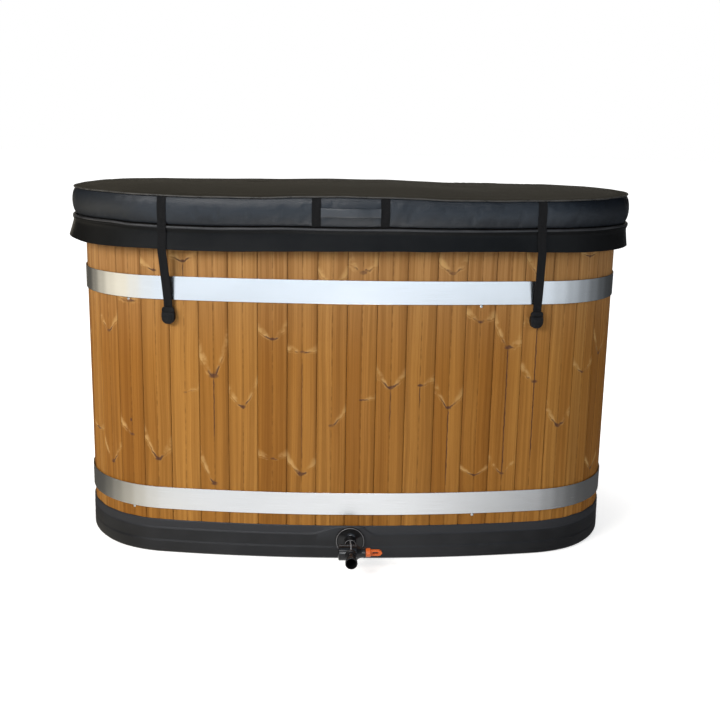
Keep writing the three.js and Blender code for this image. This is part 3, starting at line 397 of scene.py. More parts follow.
def timberMaterial():
    material, tree, shader = newMaterial("oiledTimber", Specular_IOR_Level=0.07)
    across, height, unused = splitXyz(tree, uvPlace(tree, "boardMap"))
    seed = attributeOf(tree, "boardSeed")
    grain = placeGroup(tree, boardGrain, Across=across, Height=height, Seed=seed)
    turn = calc(tree, "MULTIPLY", seed, 91.0)
    wobble = noiseOf(tree, joinXyz(tree, calc(tree, "MULTIPLY", across, 78.0),
                                   calc(tree, "MULTIPLY", height, 52.0), turn), 1.0, 2.5)
    patch = noiseOf(tree, joinXyz(tree, calc(tree, "MULTIPLY", across, 40.0),
                                  calc(tree, "MULTIPLY", height, 46.0), turn), 1.0, 2.0)
    sizes = splitXyz(tree, attributeOf(tree, "knotSizes", "Vector"))
    pale, dark = None, None
    for place, label in enumerate(("knotA", "knotB", "knotC")):
        knot = placeGroup(tree, wingKnot, Across=across, Height=height, Wobble=wobble, Patch=patch,
                          Knot=attributeOf(tree, label, "Vector"), Size=sizes[place])
        pale = knot["Pale"] if pale is None else calc(tree, "MAXIMUM", pale, knot["Pale"])
        dark = knot["Dark"] if dark is None else calc(tree, "MAXIMUM", dark, knot["Dark"])
    # colour from the grain, darker late wood, then the knots
    base = mixColour(tree, remap(tree, grain["Tone"], 0.15, 0.95), timberFinish["mid"], timberFinish["light"])
    # paler towards the top of the boards
    base = mixColour(tree, remap(tree, height, 0.55, 0.95, 0.0, 0.58), base, timberFinish["paleTop"])
    base = mixColour(tree, calc(tree, "MULTIPLY", grain["Streaks"], 0.42), base, timberFinish["dark"])
    base = mixColour(tree, calc(tree, "MULTIPLY", grain["Lines"], 0.3), base, timberFinish["dark"])
    base = mixColour(tree, calc(tree, "MULTIPLY", pale, 0.58), base, timberFinish["cream"])
    # resin cracks down the middle groove
    crackTop, crackEnd, crackStrength = splitXyz(tree, attributeOf(tree, "crack", "Vector"))
    wander = calc(tree, "MULTIPLY_ADD", wobble, 0.006, -0.003)
    crackLine = remap(tree, calc(tree, "ABSOLUTE", calc(tree, "ADD", across, wander)), 0.0022, 0.0006)
    below = remap(tree, calc(tree, "SUBTRACT", crackTop, height), 0.0, 0.012)
    above = remap(tree, calc(tree, "SUBTRACT", height, crackEnd), 0.0, 0.06)
    crack = calc(tree, "MULTIPLY", calc(tree, "MULTIPLY", crackLine, below),
                 calc(tree, "MULTIPLY", above, crackStrength))
    hearts = calc(tree, "MAXIMUM", dark, calc(tree, "MAXIMUM", crack, grain["Pins"]))
    base = mixColour(tree, calc(tree, "MULTIPLY", hearts, 0.86), base, timberFinish["heart"])
    # painted shade: dark in the seams, darker towards each board's edges and, less, in the middle groove
    side = calc(tree, "ABSOLUTE", across)
    groove = calc(tree, "MULTIPLY", remap(tree, side, 0.0030, 0.0006), remap(tree, patch, 0.35, 0.65, 0.05, 0.4))
    edge = remap(tree, side, 0.032, 0.0415, 0.0, 0.12)
    seamShadeLine = calc(tree, "MULTIPLY", remap(tree, side, 0.0402, 0.0424), remap(tree, wobble, 0.3, 0.7, 0.12, 0.42))
    seam = calc(tree, "MAXIMUM", seamShadeLine, calc(tree, "MAXIMUM", edge, groove))
    base = mixColour(tree, seam, base, timberFinish["seam"])
    tree.links.new(base, shader.inputs["Base Color"])
    rough = remap(tree, grain["Lines"], 0.0, 1.0, 0.46, 0.6)
    tree.links.new(calc(tree, "SUBTRACT", rough, calc(tree, "MULTIPLY", dark, 0.1)), shader.inputs["Roughness"])
    relief = calc(tree, "MULTIPLY_ADD", dark, -0.8, calc(tree, "MULTIPLY", grain["Lines"], -0.3))
    addBump(tree, shader, calc(tree, "MULTIPLY_ADD", crack, -1.0, relief), 0.5, timberFinish["bumpDepth"])
    return material


def steelMaterial(name, mapName):
    material, tree, shader = newMaterial(name, Metallic=1.0)
    along, across, unused = splitXyz(tree, uvPlace(tree, mapName))
    lines = placeGroup(tree, brushedLines, Along=along, Across=across)
    tone = mixColour(tree, lines["Streak"], (0.70, 0.71, 0.72), (0.80, 0.81, 0.82))
    tree.links.new(mixColour(tree, calc(tree, "MULTIPLY", lines["Smudge"], 0.1), tone, (0.60, 0.60, 0.59)),
                   shader.inputs["Base Color"])
    rough = calc(tree, "MULTIPLY_ADD", lines["Streak"], 0.05, 0.21)
    tree.links.new(calc(tree, "MULTIPLY_ADD", lines["Smudge"], 0.02, rough), shader.inputs["Roughness"])
    addBump(tree, shader, lines["Streak"], 0.03, 0.0002)
    return material


def mouldedMaterial(name, dark, pale, roughLow, roughHigh, pits=900.0, blotch=9.0, bump=0.25, shineColour=None, **plain):
    material, tree, shader = newMaterial(name, **plain)
    node = tree.nodes.new("ShaderNodeGroup")
    node.node_tree = pittedSurface
    tree.links.new(objectPlace(tree), node.inputs["Place"])
    node.inputs["Pit Scale"].default_value = pits
    node.inputs["Blotch Scale"].default_value = blotch
    colour = mixColour(tree, node.outputs["Blotch"], dark, pale)
    if shineColour:  # painted highlight and sheen: paler where the attribute marks it
        colour = mixColour(tree, attributeOf(tree, "paintedShine"), colour, shineColour)
    tree.links.new(colour, shader.inputs["Base Color"])
    tree.links.new(remap(tree, node.outputs["Blotch"], 0.0, 1.0, roughLow, roughHigh), shader.inputs["Roughness"])
    addBump(tree, shader, node.outputs["Height"], bump, 0.0004)
    return material


def webbingMaterial():
    material, tree, shader = newMaterial("blackWebbing", Specular_IOR_Level=0.2, Sheen_Weight=0.03)
    across, along, unused = splitXyz(tree, uvPlace(tree, "webMap"))
    weave = placeGroup(tree, webWeave, Across=across, Along=along)
    tree.links.new(mixColour(tree, weave["Shade"], (0.003, 0.003, 0.0035), (0.012, 0.012, 0.013)),
                   shader.inputs["Base Color"])
    tree.links.new(remap(tree, weave["Shade"], 0.0, 1.0, 0.85, 0.62), shader.inputs["Roughness"])
    addBump(tree, shader, weave["Height"], 0.6, 0.0006)
    return material


oiledTimber = timberMaterial()
bandSteel = steelMaterial("bandSteel", "wrapMap")
# the tray's last colour is a painted sheen on its upper strip
trayPlastic = mouldedMaterial("trayPlastic", (0.0125, 0.0130, 0.0146), (0.020, 0.0208, 0.0232), 0.32, 0.44, 700.0, 7.0, 0.2,
                              (0.028, 0.0293, 0.0335), Specular_IOR_Level=0.2)
bathPlastic = mouldedMaterial("bathPlastic", (0.018, 0.018, 0.019), (0.026, 0.026, 0.027), 0.3, 0.42, 600.0, 5.0, 0.12)
clipPlastic = mouldedMaterial("clipPlastic", (0.006, 0.006, 0.006), (0.011, 0.011, 0.012), 0.4, 0.52, 1500.0, 60.0, 0.2,
                              Specular_IOR_Level=0.16)
# the fitting's pale colour is a painted highlight on the flange's bead, the sleeve's end and the rib
fittingPlastic = mouldedMaterial("fittingPlastic", (0.008, 0.008, 0.009), (0.014, 0.014, 0.015), 0.12, 0.2, 1300.0, 45.0, 0.04,
                                 (0.20, 0.20, 0.21), Specular_IOR_Level=0.3)
boreShadow = mouldedMaterial("boreShadow", (0.003, 0.003, 0.003), (0.005, 0.005, 0.005), 0.6, 0.8, 1300.0, 45.0, 0.1,
                             Specular_IOR_Level=0.1)
orangeKey = mouldedMaterial("orangeKey", (0.60, 0.105, 0.008), (0.68, 0.130, 0.013), 0.34, 0.46, 1300.0, 50.0, 0.12)
# painted light: the cover is one black vinyl in tinted copies, warm on top, bluish on the side wall and handle grip,
# darker on the skirt, and paler on the welt and piping as painted highlights
vinylTop = mouldedMaterial("vinylTop", (0.015, 0.0132, 0.0096), (0.026, 0.0232, 0.0172), 0.5, 0.6, 1100.0, 4.0, 0.5,
                           Specular_IOR_Level=0.3)
vinylSide = mouldedMaterial("vinylSide", (0.0045, 0.0066, 0.0105), (0.0085, 0.0115, 0.0165), 0.32, 0.44, 1100.0, 6.0, 0.5,
                            Specular_IOR_Level=0.6)
weltVinyl = mouldedMaterial("weltVinyl", (0.030, 0.029, 0.027), (0.055, 0.053, 0.050), 0.26, 0.42, 1100.0, 30.0, 0.4,
                            Specular_IOR_Level=0.4)
gripVinyl = mouldedMaterial("gripVinyl", (0.012, 0.015, 0.020), (0.020, 0.023, 0.029), 0.34, 0.46, 1100.0, 24.0, 0.5,
                            Specular_IOR_Level=0.9)
vinylSkirt = mouldedMaterial("vinylSkirt", (0.0034, 0.0036, 0.0039), (0.0060, 0.0062, 0.0066), 0.28, 0.38, 1100.0, 6.0, 0.5,
                             Specular_IOR_Level=0.15)
pipingVinyl = mouldedMaterial("pipingVinyl", (0.020, 0.0205, 0.0225), (0.034, 0.0345, 0.0375), 0.28, 0.40, 1100.0, 20.0, 0.3,
                              Specular_IOR_Level=0.5)
gasketRubber = mouldedMaterial("gasketRubber", (0.008, 0.008, 0.008), (0.014, 0.014, 0.014), 0.7, 0.85, 1500.0, 40.0, 0.3)
paleFoam = mouldedMaterial("paleFoam", (0.62, 0.60, 0.54), (0.72, 0.70, 0.63), 0.85, 0.95, 260.0, 12.0, 0.8)
blackWebbing = webbingMaterial()
zincFastener = mouldedMaterial("zincFastener", (0.66, 0.66, 0.65), (0.80, 0.80, 0.79), 0.26, 0.4, 1400.0, 160.0, 0.1,
                               Metallic=1.0)
print("materials made")

# mesh helpers


def finishPiece(name, bm, body, *materials, replaced=(), slot=None, smoothAngle=38):
    mesh = bpy.data.meshes.new(name)
    bm.to_mesh(mesh)
    bm.free()
    for material in materials:
        mesh.materials.append(material)
    mesh.polygons.foreach_set("use_smooth", [True] * len(mesh.polygons))
    mesh.set_sharp_from_angle(angle=math.radians(smoothAngle))
    piece = bpy.data.objects.new(name, mesh)
    scene.collection.objects.link(piece)
    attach(piece, body)
    if replaced:
        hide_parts(*replaced)
    return piece


# a grid bent into place: place(u, w) takes shares of its two sides, lengths give its map in metres
def bentGrid(bm, columns, rows, place, mapName, lengths, mark=None):
    wrap = bm.loops.layers.uv.new(mapName)
    bmesh.ops.create_grid(bm, x_segments=columns, y_segments=rows, size=0.5)
    for face in bm.faces:
        for loop in face.loops:
            spot = loop.vert.co
            loop[wrap].uv = ((spot.x + 0.5) * lengths[0], (spot.y + 0.5) * lengths[1])
    for vert in bm.verts:
        u, w = vert.co.x + 0.5, vert.co.y + 0.5
        if mark:
            mark(vert, u, w)
        vert.co = place(u, w)


# a strip of profile rows round the whole outline, closed on itself
def wrapRound(bm, columns, profile, mapName="wrapMap"):
    rows = len(profile) - 1

    def place(u, w):
        offset, height = profile[round(w * rows)]
        distance = u * outlineLength
        offset = offset(distance) if callable(offset) else offset
        height = height(distance) if callable(height) else height
        return wallPoint(distance, offset, height)

    bentGrid(bm, columns, rows, place, mapName, (outlineLength, 0.1 * rows))
    bmesh.ops.remove_doubles(bm, verts=bm.verts, dist=1e-6)
    bmesh.ops.recalc_face_normals(bm, faces=bm.faces)


def sharpEdges(bm, angle=35):
    return [edge for edge in bm.edges
            if len(edge.link_faces) == 2 and edge.calc_face_angle() > math.radians(angle)]


def softenEdges(bm, width, segments=2, angle=35):
    bmesh.ops.bevel(bm, geom=sharpEdges(bm, angle), offset=width, offset_type="OFFSET", segments=segments,
                    profile=0.5, affect="EDGES", material=-1, clamp_overlap=True)


# a profile of (radius, reach) spun round an axis
def spinProfile(bm, profile, centre, axis, steps=48):
    axis = Vector(axis).normalized()
    side = Vector((0, 0, 1)) if abs(axis.z) < 0.5 else Vector((1, 0, 0))
    verts = [bm.verts.new(Vector(centre) + axis * reach + side * radius) for radius, reach in profile]
    edges = [bm.edges.new(pair) for pair in zip(verts, verts[1:])]
    bmesh.ops.spin(bm, geom=verts + edges, cent=centre, axis=axis, angle=2 * math.pi, steps=steps, use_merge=True)
    bmesh.ops.remove_doubles(bm, verts=bm.verts, dist=1e-6)
    bmesh.ops.recalc_face_normals(bm, faces=bm.faces)


# a flat face pushed into a plate
def pushPlate(bm, points, push):
    face = bm.faces.new([bm.verts.new(point) for point in points])
    made = bmesh.ops.extrude_face_region(bm, geom=[face])
    bmesh.ops.translate(bm, verts=[v for v in made["geom"] if isinstance(v, bmesh.types.BMVert)], vec=push)
    bmesh.ops.recalc_face_normals(bm, faces=bm.faces)


# marks the points painted paler as painted highlights and sheen
def markPaintedShine(bm, amount):
    paintedShine = bm.verts.layers.float.new("paintedShine")
    for vert in bm.verts:
        vert[paintedShine] = amount(vert.co)


def addModifier(piece, kind, **settings):
    modifier = piece.modifiers.new(kind.lower(), kind)
    for label, value in settings.items():
        setattr(modifier, label, value)
    return modifier


# timber jacket

boardWork = {
    "count": 48,
    "perPanel": 3,
    "shift": -0.018,
    "thickness": 0.020,
    "bottom": 0.1023,
    "top": 0.9767,
    "gap": 0.0002,
    "seed": 12,
    # one half of a board's face: share of the half, depth
    "grooveDepth": 0.0034,
    "halfFace": [(0.0, 3.4), (0.024, 2.1), (0.05, 1.3), (0.09, 0.9), (0.16, 0.6), (0.3, 0.22), (0.5, 0.0),
                 (0.7, 0.08), (0.85, 0.26), (0.93, 0.42), (0.975, 0.62), (1.0, 0.8)],
}
noWing = -9.0
# knots as (height, left slope, right slope, size), by board from the front middle, and cracks as (top, end, strength)
frontKnots = {
    -10: [(0.343, 0.1, 0.1, 0.6)],
    -9: [(0.659, 0.9, 0.9, 0.9), (0.256, 1.3, 1.3, 0.9)],
    -8: [(0.756, 0.15, 0.1, 1.0), (0.356, 0.75, noWing, 0.9)],
    -7: [(0.849, 0.4, noWing, 0.7), (0.290, 1.6, 0.8, 1.2)],
    -6: [(0.878, 0.35, 0.45, 0.9), (0.497, noWing, 0.3, 0.5)],
    -5: [(0.549, 1.2, 2.2, 1.8), (0.223, 1.75, noWing, 1.3)],
    -4: [(0.460, 0.85, 1.6, 1.0)],
    -3: [(0.662, 0.5, 0.7, 0.9), (0.306, 0.15, 0.15, 0.7)],
    -2: [(0.627, 0.05, 0.0, 0.7), (0.260, 0.95, 0.75, 1.0)],
    -1: [(0.815, 1.0, 0.9, 1.0), (0.409, noWing, 1.0, 0.9)],
    0: [(0.857, 0.6, 0.5, 1.3), (0.487, noWing, 0.1, 0.5)],
    1: [(0.524, 0.85, 0.75, 1.0)],
    2: [(0.531, noWing, 0.3, 0.8)],
    3: [(0.857, 0.7, 0.6, 1.1), (0.464, 1.3, 0.85, 1.0)],
    4: [(0.717, 0.55, 0.3, 0.9), (0.256, 0.5, 0.5, 0.5)],
    5: [(0.641, 1.6, 0.25, 1.2), (0.258, 1.0, 1.0, 0.7)],
    6: [(0.846, 1.3, noWing, 1.0), (0.706, 0.05, noWing, 0.8), (0.538, 0.8, noWing, 1.1)],
    7: [(0.399, 1.15, 0.7, 1.1)],
    8: [(0.554, 0.6, 0.6, 0.7), (0.900, 0.3, 0.3, 0.6)],
    9: [(0.600, 1.5, 1.2, 0.9), (0.234, 0.8, 0.9, 0.7)],
}
frontCracks = {
    -6: (0.876, 0.80, 0.9), -5: (0.545, 0.34, 0.9), -2: (0.60, 0.27, 0.5), 1: (0.520, 0.38, 0.7),
    2: (0.530, 0.45, 0.8), 3: (0.460, 0.21, 0.9), 5: (0.640, 0.22, 1.0), 6: (0.705, 0.28, 1.0),
}
boardPitch = outlineLength / boardWork["count"]


def boardKnots(index, dice):
    front = index - boardWork["count"] if index > boardWork["count"] / 2 else index
    if front in frontKnots:
        return frontKnots[front], frontCracks.get(front, (0, 0, 0))
    knots = []
    for knot in range(dice.choice((1, 2, 2, 3))):
        height = 0.16 + (knot + dice.uniform(0.1, 0.9)) * 0.27
        slopes = [dice.uniform(0.1, 1.5), dice.uniform(0.1, 1.3)]
        if dice.random() < 0.35:
            slopes[dice.randrange(2)] = noWing
        knots.append((height, slopes[0], slopes[1], dice.uniform(0.6, 1.2)))
    crack = (knots[0][0], knots[0][0] - dice.uniform(0.06, 0.2), 0.8) if dice.random() < 0.3 else (0, 0, 0)
    return knots, crack


def boardSection(index):
    start = boardWork["shift"] + index * boardPitch
    first, firstOut = outlineAt(start)
    last, lastOut = outlineAt(start + boardPitch)
    chord = last - first
    inward = Vector((-chord.y, chord.x, 0)).normalized()
    gap = chord.normalized() * boardWork["gap"]
    points = [first - firstOut * boardWork["grooveDepth"] + gap]
    for half in (0, 1):
        face = boardWork["halfFace"] if half == 0 else [(1 - s, d) for s, d in reversed(boardWork["halfFace"])]
        for share, depth in face[1:] if half == 0 else face[1:-1]:
            points.append(first + chord * (half + share) / 2 + inward * depth / 1000)
    points.append(last - lastOut * boardWork["grooveDepth"] - gap)
    middle, middleOut = outlineAt(start + boardPitch / 2)
    points.append(last - lastOut * boardWork["thickness"] - gap)
    points.append(middle - middleOut * boardWork["thickness"])
    points.append(first - firstOut * boardWork["thickness"] + gap)
    return points, (first + last) / 2, chord.normalized()


def makePanel(panel, dice):
    bm = bmesh.new()
    boardMap = bm.loops.layers.uv.new("boardMap")
    seedLayer = bm.verts.layers.float.new("boardSeed")
    knotLayers = [bm.verts.layers.float_vector.new(label) for label in ("knotA", "knotB", "knotC")]
    sizeLayer = bm.verts.layers.float_vector.new("knotSizes")
    crackLayer = bm.verts.layers.float_vector.new("crack")
    known = 0
    for index in range(panel * boardWork["perPanel"], (panel + 1) * boardWork["perPanel"]):
        points, middle, along = boardSection(index)
        for point in points:
            point.z = boardWork["bottom"]
        pushPlate(bm, points, (0, 0, boardWork["top"] - boardWork["bottom"]))
        knots, crack = boardKnots(index, dice)
        seed = dice.random()
        bm.verts.ensure_lookup_table()
        for vert in bm.verts[known:]:
            vert[seedLayer] = seed
            vert[crackLayer] = crack
            vert[sizeLayer] = [knots[k][3] if k < len(knots) else 0.0 for k in range(3)]
            for layer, knot in zip(knotLayers, knots):
                vert[layer] = knot[:3]
            for loop in vert.link_loops:
                loop[boardMap].uv = ((vert.co - middle).dot(along), vert.co.z)
        known = len(bm.verts)
    label = f"{panel + 1:02d}"
    finishPiece(f"claddingBoards{label}", bm, "tub", oiledTimber,
                replaced=(f"cladding_panel_{label}",), slot="timber", smoothAngle=30)


boardDice = random.Random(boardWork["seed"])
for panel in range(boardWork["count"] // boardWork["perPanel"]):
    makePanel(panel, boardDice)
print("timber boards made")

# steel bands, each a strip split at the back with two ears

bandWork = {"height": 0.067, "thickness": 0.0015, "standoff": 0.0011, "ear": 0.018, "split": 0.004,
            "bend": 0.004,
            "rows": [0.0, 0.012, 0.25, 0.5, 0.75, 0.988, 1.0], "stops": [0.06, 0.2, 0.35, 0.44, 0.56, 0.65, 0.8, 0.94]}


# point over the flat face of the half board at a distance along the outline
def boardFacePoint(distance, standoff):
    run = boardPitch / 2
    start = boardWork["shift"] + math.floor((distance - boardWork["shift"]) / run) * run
    first, firstOut = outlineAt(start)
    last, lastOut = outlineAt(start + run)
    return (first + firstOut * standoff).lerp(last + lastOut * standoff, (distance - start) / run)


def makeBand(name, node, bottom):
    half = bandWork["split"] / 2
    reach = halfWidth + bandWork["standoff"]
    rows = bandWork["rows"]
    line = []
    for step in range(4):  # ear on the -X side, tip first
        line.append(Vector((-half, reach + bandWork["ear"] - step * (bandWork["ear"] - bandWork["bend"]) / 3, 0)))
    for step in range(1, 5):
        turn = step / 5 * math.pi / 2
        line.append(Vector((-half - bandWork["bend"] * (1 - math.cos(turn)),
                            reach + bandWork["bend"] * (1 - math.sin(turn)), 0)))
    free = half + bandWork["bend"]
    first = outlineLength / 2 + free
    last = first + outlineLength - 2 * free
    stops = [boardWork["shift"] + (board + share) * boardPitch
             for board in range(2 * boardWork["count"]) for share in bandWork["stops"]]
    for distance in [first] + [stop for stop in stops if first + 0.004 < stop < last - 0.004] + [last]:
        line.append(boardFacePoint(distance, bandWork["standoff"]))
    ears = line[:8]
    line += [Vector((-spot.x, spot.y, 0)) for spot in reversed(ears)]
    bm = bmesh.new()

    def place(u, w):
        spot = line[round(u * (len(line) - 1))].copy()
        spot.z = bottom + rows[round(w * (len(rows) - 1))] * bandWork["height"]
        return spot

    bentGrid(bm, len(line) - 1, len(rows) - 1, place, "wrapMap", (outlineLength, bandWork["height"]))
    bmesh.ops.recalc_face_normals(bm, faces=bm.faces)
    band = finishPiece(name, bm, "tub", bandSteel, replaced=(node,), slot="steel", smoothAngle=60)
    addModifier(band, "SOLIDIFY", thickness=bandWork["thickness"], offset=1)
    addModifier(band, "BEVEL", width=0.0004, segments=2, limit_method="ANGLE")
    return band


makeBand("upperBand", "upper_band", 0.767)
makeBand("lowerBand", "lower_band", 0.137)

# screws under the bands

screwWork = {"boards": [-8, 4, 16, 28], "head": 0.0045, "rise": 0.0024, "drop": 0.0003,
             "heights": {"upper": 0.7622, "lower": 0.1322}}


def makeScrew(name, node, board, height):
    start = boardWork["shift"] + board * boardPitch
    first, unused = outlineAt(start)
    last, unused = outlineAt(start + boardPitch)
    chord = (last - first).normalized()
    out = Vector((chord.y, -chord.x, 0))
    seat = (first + last) / 2 - out * 0.0008
    seat.z = height
    head = screwWork["head"]
    rise = screwWork["rise"]
    bm = bmesh.new()
    spinProfile(bm, [(0, -0.012), (0.002, -0.010), (0.002, 0), (head, 0), (head, rise * 0.35), (head * 0.93, rise * 0.62),
                     (head * 0.74, rise * 0.85), (head * 0.42, rise), (0.0011, rise), (0.0009, rise - 0.0014), (0, rise - 0.0015)],
                seat, out, 24)
    finishPiece(name, bm, "tub", zincFastener, replaced=(node,), slot="steel")


for level, height in screwWork["heights"].items():
    for number, board in enumerate(screwWork["boards"]):
        makeScrew(f"{level}Screw{number + 1}", f"{level}_band_screw_{number + 1}", board, height)
for level in ("upper", "lower"):
    for kind in ("bolt", "nut"):
        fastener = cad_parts[f"{level}_band_{kind}"]
        fastener.data.materials.clear()
        fastener.data.materials.append(zincFastener)
print("bands and fasteners made")

# base tray, with ledges that sweep up over the drain

trayWork = {"columns": 360, "standoff": 0.0019, "ledge": 0.0034, "lowerLedge": 0.036, "upperLedge": 0.074,
            "foot": 0.010, "ledgeTall": 0.0045, "endLess": 0.85,
            "sweepRise": 0.024, "sweepFrom": 0.028, "sweepTo": {-1: 0.125, 1: 0.075}, "swell": 0.004, "swellWidth": 0.085}


# distance from the drain along the outline, below zero to its left
def fromDrain(distance):
    return (distance + outlineLength / 2) % outlineLength - outlineLength / 2


def nearDrain(distance, width):
    return math.exp(-(fromDrain(distance) / width) ** 2)


def sweepShare(distance):
    away = fromDrain(distance)
    return 1 - ease(abs(away), trayWork["sweepFrom"], trayWork["sweepTo"][1 if away > 0 else -1])


def makeTray():
    base = tubPlan["baseHeight"]
    upper = trayWork["standoff"]
    middle = upper + trayWork["ledge"]
    lower = middle + trayWork["ledge"]
    foot = trayWork["foot"]

    # the ledges die away round the ends
    def swollen(offset, share=1.0):
        def reach(distance):
            ends = 1 - trayWork["endLess"] * ease(abs(outlineAt(distance)[1].x), 0.5, 0.97)
            return upper + (offset - upper) * ends + share * trayWork["swell"] * nearDrain(distance, trayWork["swellWidth"])
        return reach

    def swept(height):
        return lambda d: height + trayWork["sweepRise"] * sweepShare(d)

    ledge = trayWork["upperLedge"]
    low = trayWork["lowerLedge"]
    tall = trayWork["ledgeTall"]
    profile = [(lower - 0.30, 0.0), (lower - 0.15, 0.0), (lower - foot - 0.02, 0.0)]
    for step in range(6):
        turn = step / 5 * math.pi / 2
        inward = foot * (1 - math.sin(turn))
        profile.append((lambda d, inward=inward: swollen(lower, 0.0)(d) - inward, foot * (1 - math.cos(turn))))
    profile += [(swollen(lower, 0.3), 0.022), (swollen(lower, 0.6), low - 0.0025), (swollen(lower, 0.6), low),
                (swollen(lower - 0.0006, 0.7), low + 0.0006), (swollen(middle + 0.0006, 0.7), low + tall),
                (swollen(middle, 0.7), low + tall + 0.0006),
                (swollen(middle, 0.9), 0.054), (swollen(middle), swept(ledge - 0.0028)), (swollen(middle), swept(ledge)),
                (swollen(middle - 0.0006), swept(ledge + 0.0006)), (swollen(upper + 0.0006), swept(ledge + tall)),
                (swollen(upper, 0.9), swept(ledge + tall + 0.0006)),
                (upper, base - 0.0036), (upper - 0.0003, base - 0.0028), (upper - 0.0016, base - 0.0006),
                (upper - 0.0022, base),
                (-0.010, base), (-0.0203, base), (-0.0203, base - 0.006)]
    bm = bmesh.new()
    wrapRound(bm, trayWork["columns"], profile)
    rim = [edge for edge in bm.edges if edge.is_boundary and edge.verts[0].co.z < 0.01]
    bmesh.ops.holes_fill(bm, edges=rim, sides=0)
    bmesh.ops.recalc_face_normals(bm, faces=bm.faces)
    # painted sheen: the strip above the upper ledge is painted paler
    markPaintedShine(bm, lambda spot: ease(spot.z, ledge, ledge + tall))
    tray = finishPiece("baseTray", bm, "tub", trayPlastic, replaced=("base_tray",), slot="black_plastic")
    addModifier(tray, "WEIGHTED_NORMAL", keep_sharp=True)


makeTray()

# inner tub

bathWork = {"columns": 240, "wall": -0.0495, "floor": 0.1083, "fillet": 0.040, "lip": 0.005, "drainY": -0.215,
            "drainHole": 0.017, "lipDrop": 0.030}


def makeBath():
    wall, floor, fillet = bathWork["wall"], bathWork["floor"], bathWork["fillet"]
    lip = bathWork["lip"]
    profile = [(lip, rimHeight - bathWork["lipDrop"]), (lip, rimHeight - 0.004)]
    profile += [(lip - 0.0012, rimHeight - 0.0012), (lip - 0.004, rimHeight), (wall + 0.006, rimHeight),
                (wall + 0.002, rimHeight - 0.0015), (wall, rimHeight - 0.006), (wall, 0.75), (wall, 0.5), (wall, 0.3)]
    for step in range(9):
        turn = step / 8 * math.pi / 2
        profile.append((wall - fillet * (1 - math.cos(turn)), floor + fillet * (1 - math.sin(turn))))
    profile += [(wall - 0.10, floor)]
    bm = bmesh.new()
    wrapRound(bm, bathWork["columns"], profile)
    hole = bmesh.ops.create_circle(bm, segments=32, radius=bathWork["drainHole"],
                                   matrix=Matrix.Translation((0, bathWork["drainY"], floor)))
    loops = {edge for vert in hole["verts"] for edge in vert.link_edges}
    loops |= {edge for edge in bm.edges if edge.is_boundary and edge.verts[0].co.z < floor + 0.001}
    bmesh.ops.triangle_fill(bm, edges=list(loops), use_beauty=True, use_dissolve=False)
    bmesh.ops.recalc_face_normals(bm, faces=bm.faces)
    middle = min(bm.faces, key=lambda face: (face.calc_center_median() - Vector((0.3, 0, floor))).length)
    if middle.normal.z < 0:
        bmesh.ops.reverse_faces(bm, faces=bm.faces)
    bath = finishPiece("innerTub", bm, "tub", bathPlastic, replaced=("inner_tub",), slot="black_plastic")
    addModifier(bath, "SOLIDIFY", thickness=0.0035, offset=-1)


makeBath()
for label in ("wall_insulation", "floor_insulation"):
    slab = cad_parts[label]
    slab.data.materials.clear()
    slab.data.materials.append(paleFoam)
print("tray and bath made")

# padded cover

coverWork = {"columns": 600, "overhang": 0.027, "edge": 0.080, "crown": 0.021, "crownDrop": 0.007,
             "bulge": 0.0055, "seam": 0.003, "insetReach": 0.332, "welt": 0.0024, "lip": 0.009,
             "tuck": 0.0035, "groove": 0.0032,
             "insets": [0.02, 0.05, 0.09, 0.14, 0.20, 0.27, 0.35, 0.44, 0.53, 0.62, 0.71, 0.80, 0.88, 0.95]}
coverSeam = rimHeight + coverWork["seam"]


def softNoise(spot, scale, seed=0.0):
    return noise.noise(Vector(spot) * scale + Vector((seed, seed * 1.7, seed * 0.6)))


# sag and rise of the cover's lines, as (x, height), at the front and at the back
coverLines = {
    "edgeFront": [(-0.82, 0.003), (-0.70, 0.001), (-0.60, -0.0022), (-0.44, -0.0052), (-0.28, -0.0040), (-0.12, 0.0014),
                  (-0.02, 0.0030), (0.08, 0.0020), (0.16, 0.0), (0.25, -0.0028), (0.40, -0.0040), (0.52, -0.0020),
                  (0.65, 0.0005), (0.82, 0.0062)],
    "edgeBack": [(-0.82, 0.003), (-0.70, -0.001), (-0.60, -0.003), (-0.45, -0.002), (-0.30, -0.001), (0.0, 0.001), (0.12, 0.003), (0.30, 0.002),
                 (0.50, 0.004), (0.82, 0.0062)],
    "seamFront": [(-0.82, 0.003), (-0.68, 0.002), (-0.60, -0.003), (-0.50, -0.006), (-0.40, -0.007), (-0.30, -0.005),
                  (-0.20, -0.0025), (0.0, -0.003), (0.10, -0.0015), (0.20, -0.0025), (0.40, -0.0025), (0.52, -0.0005),
                  (0.65, 0.001), (0.82, 0.002)],
    "seamBack": [(-0.82, 0.003), (-0.5, -0.002), (0.5, -0.002), (0.82, 0.002)],
    "hemFront": [(-0.82, 0.008), (-0.72, -0.001), (-0.58, -0.0015), (-0.47, -0.004), (-0.35, -0.003), (-0.22, 0.0),
                 (-0.12, 0.003), (0.0, 0.005), (0.10, 0.005), (0.20, 0.003), (0.30, 0.005), (0.42, 0.0065),
                 (0.52, 0.004), (0.65, 0.0025), (0.82, 0.002)],
    "hemBack": [(-0.82, 0.008), (-0.65, 0.0), (0.0, 0.002), (0.82, 0.002)],
}


def alongLine(points, x):
    for (firstX, first), (lastX, last) in zip(points, points[1:]):
        if x <= lastX:
            return first + (last - first) * ease(x, firstX, lastX)
    return points[-1][1]


def coverLine(label, spot):
    front, back = (alongLine(coverLines[label + end], spot.x) for end in ("Front", "Back"))
    return front + (back - front) * ease(spot.y, -0.2, 0.2)


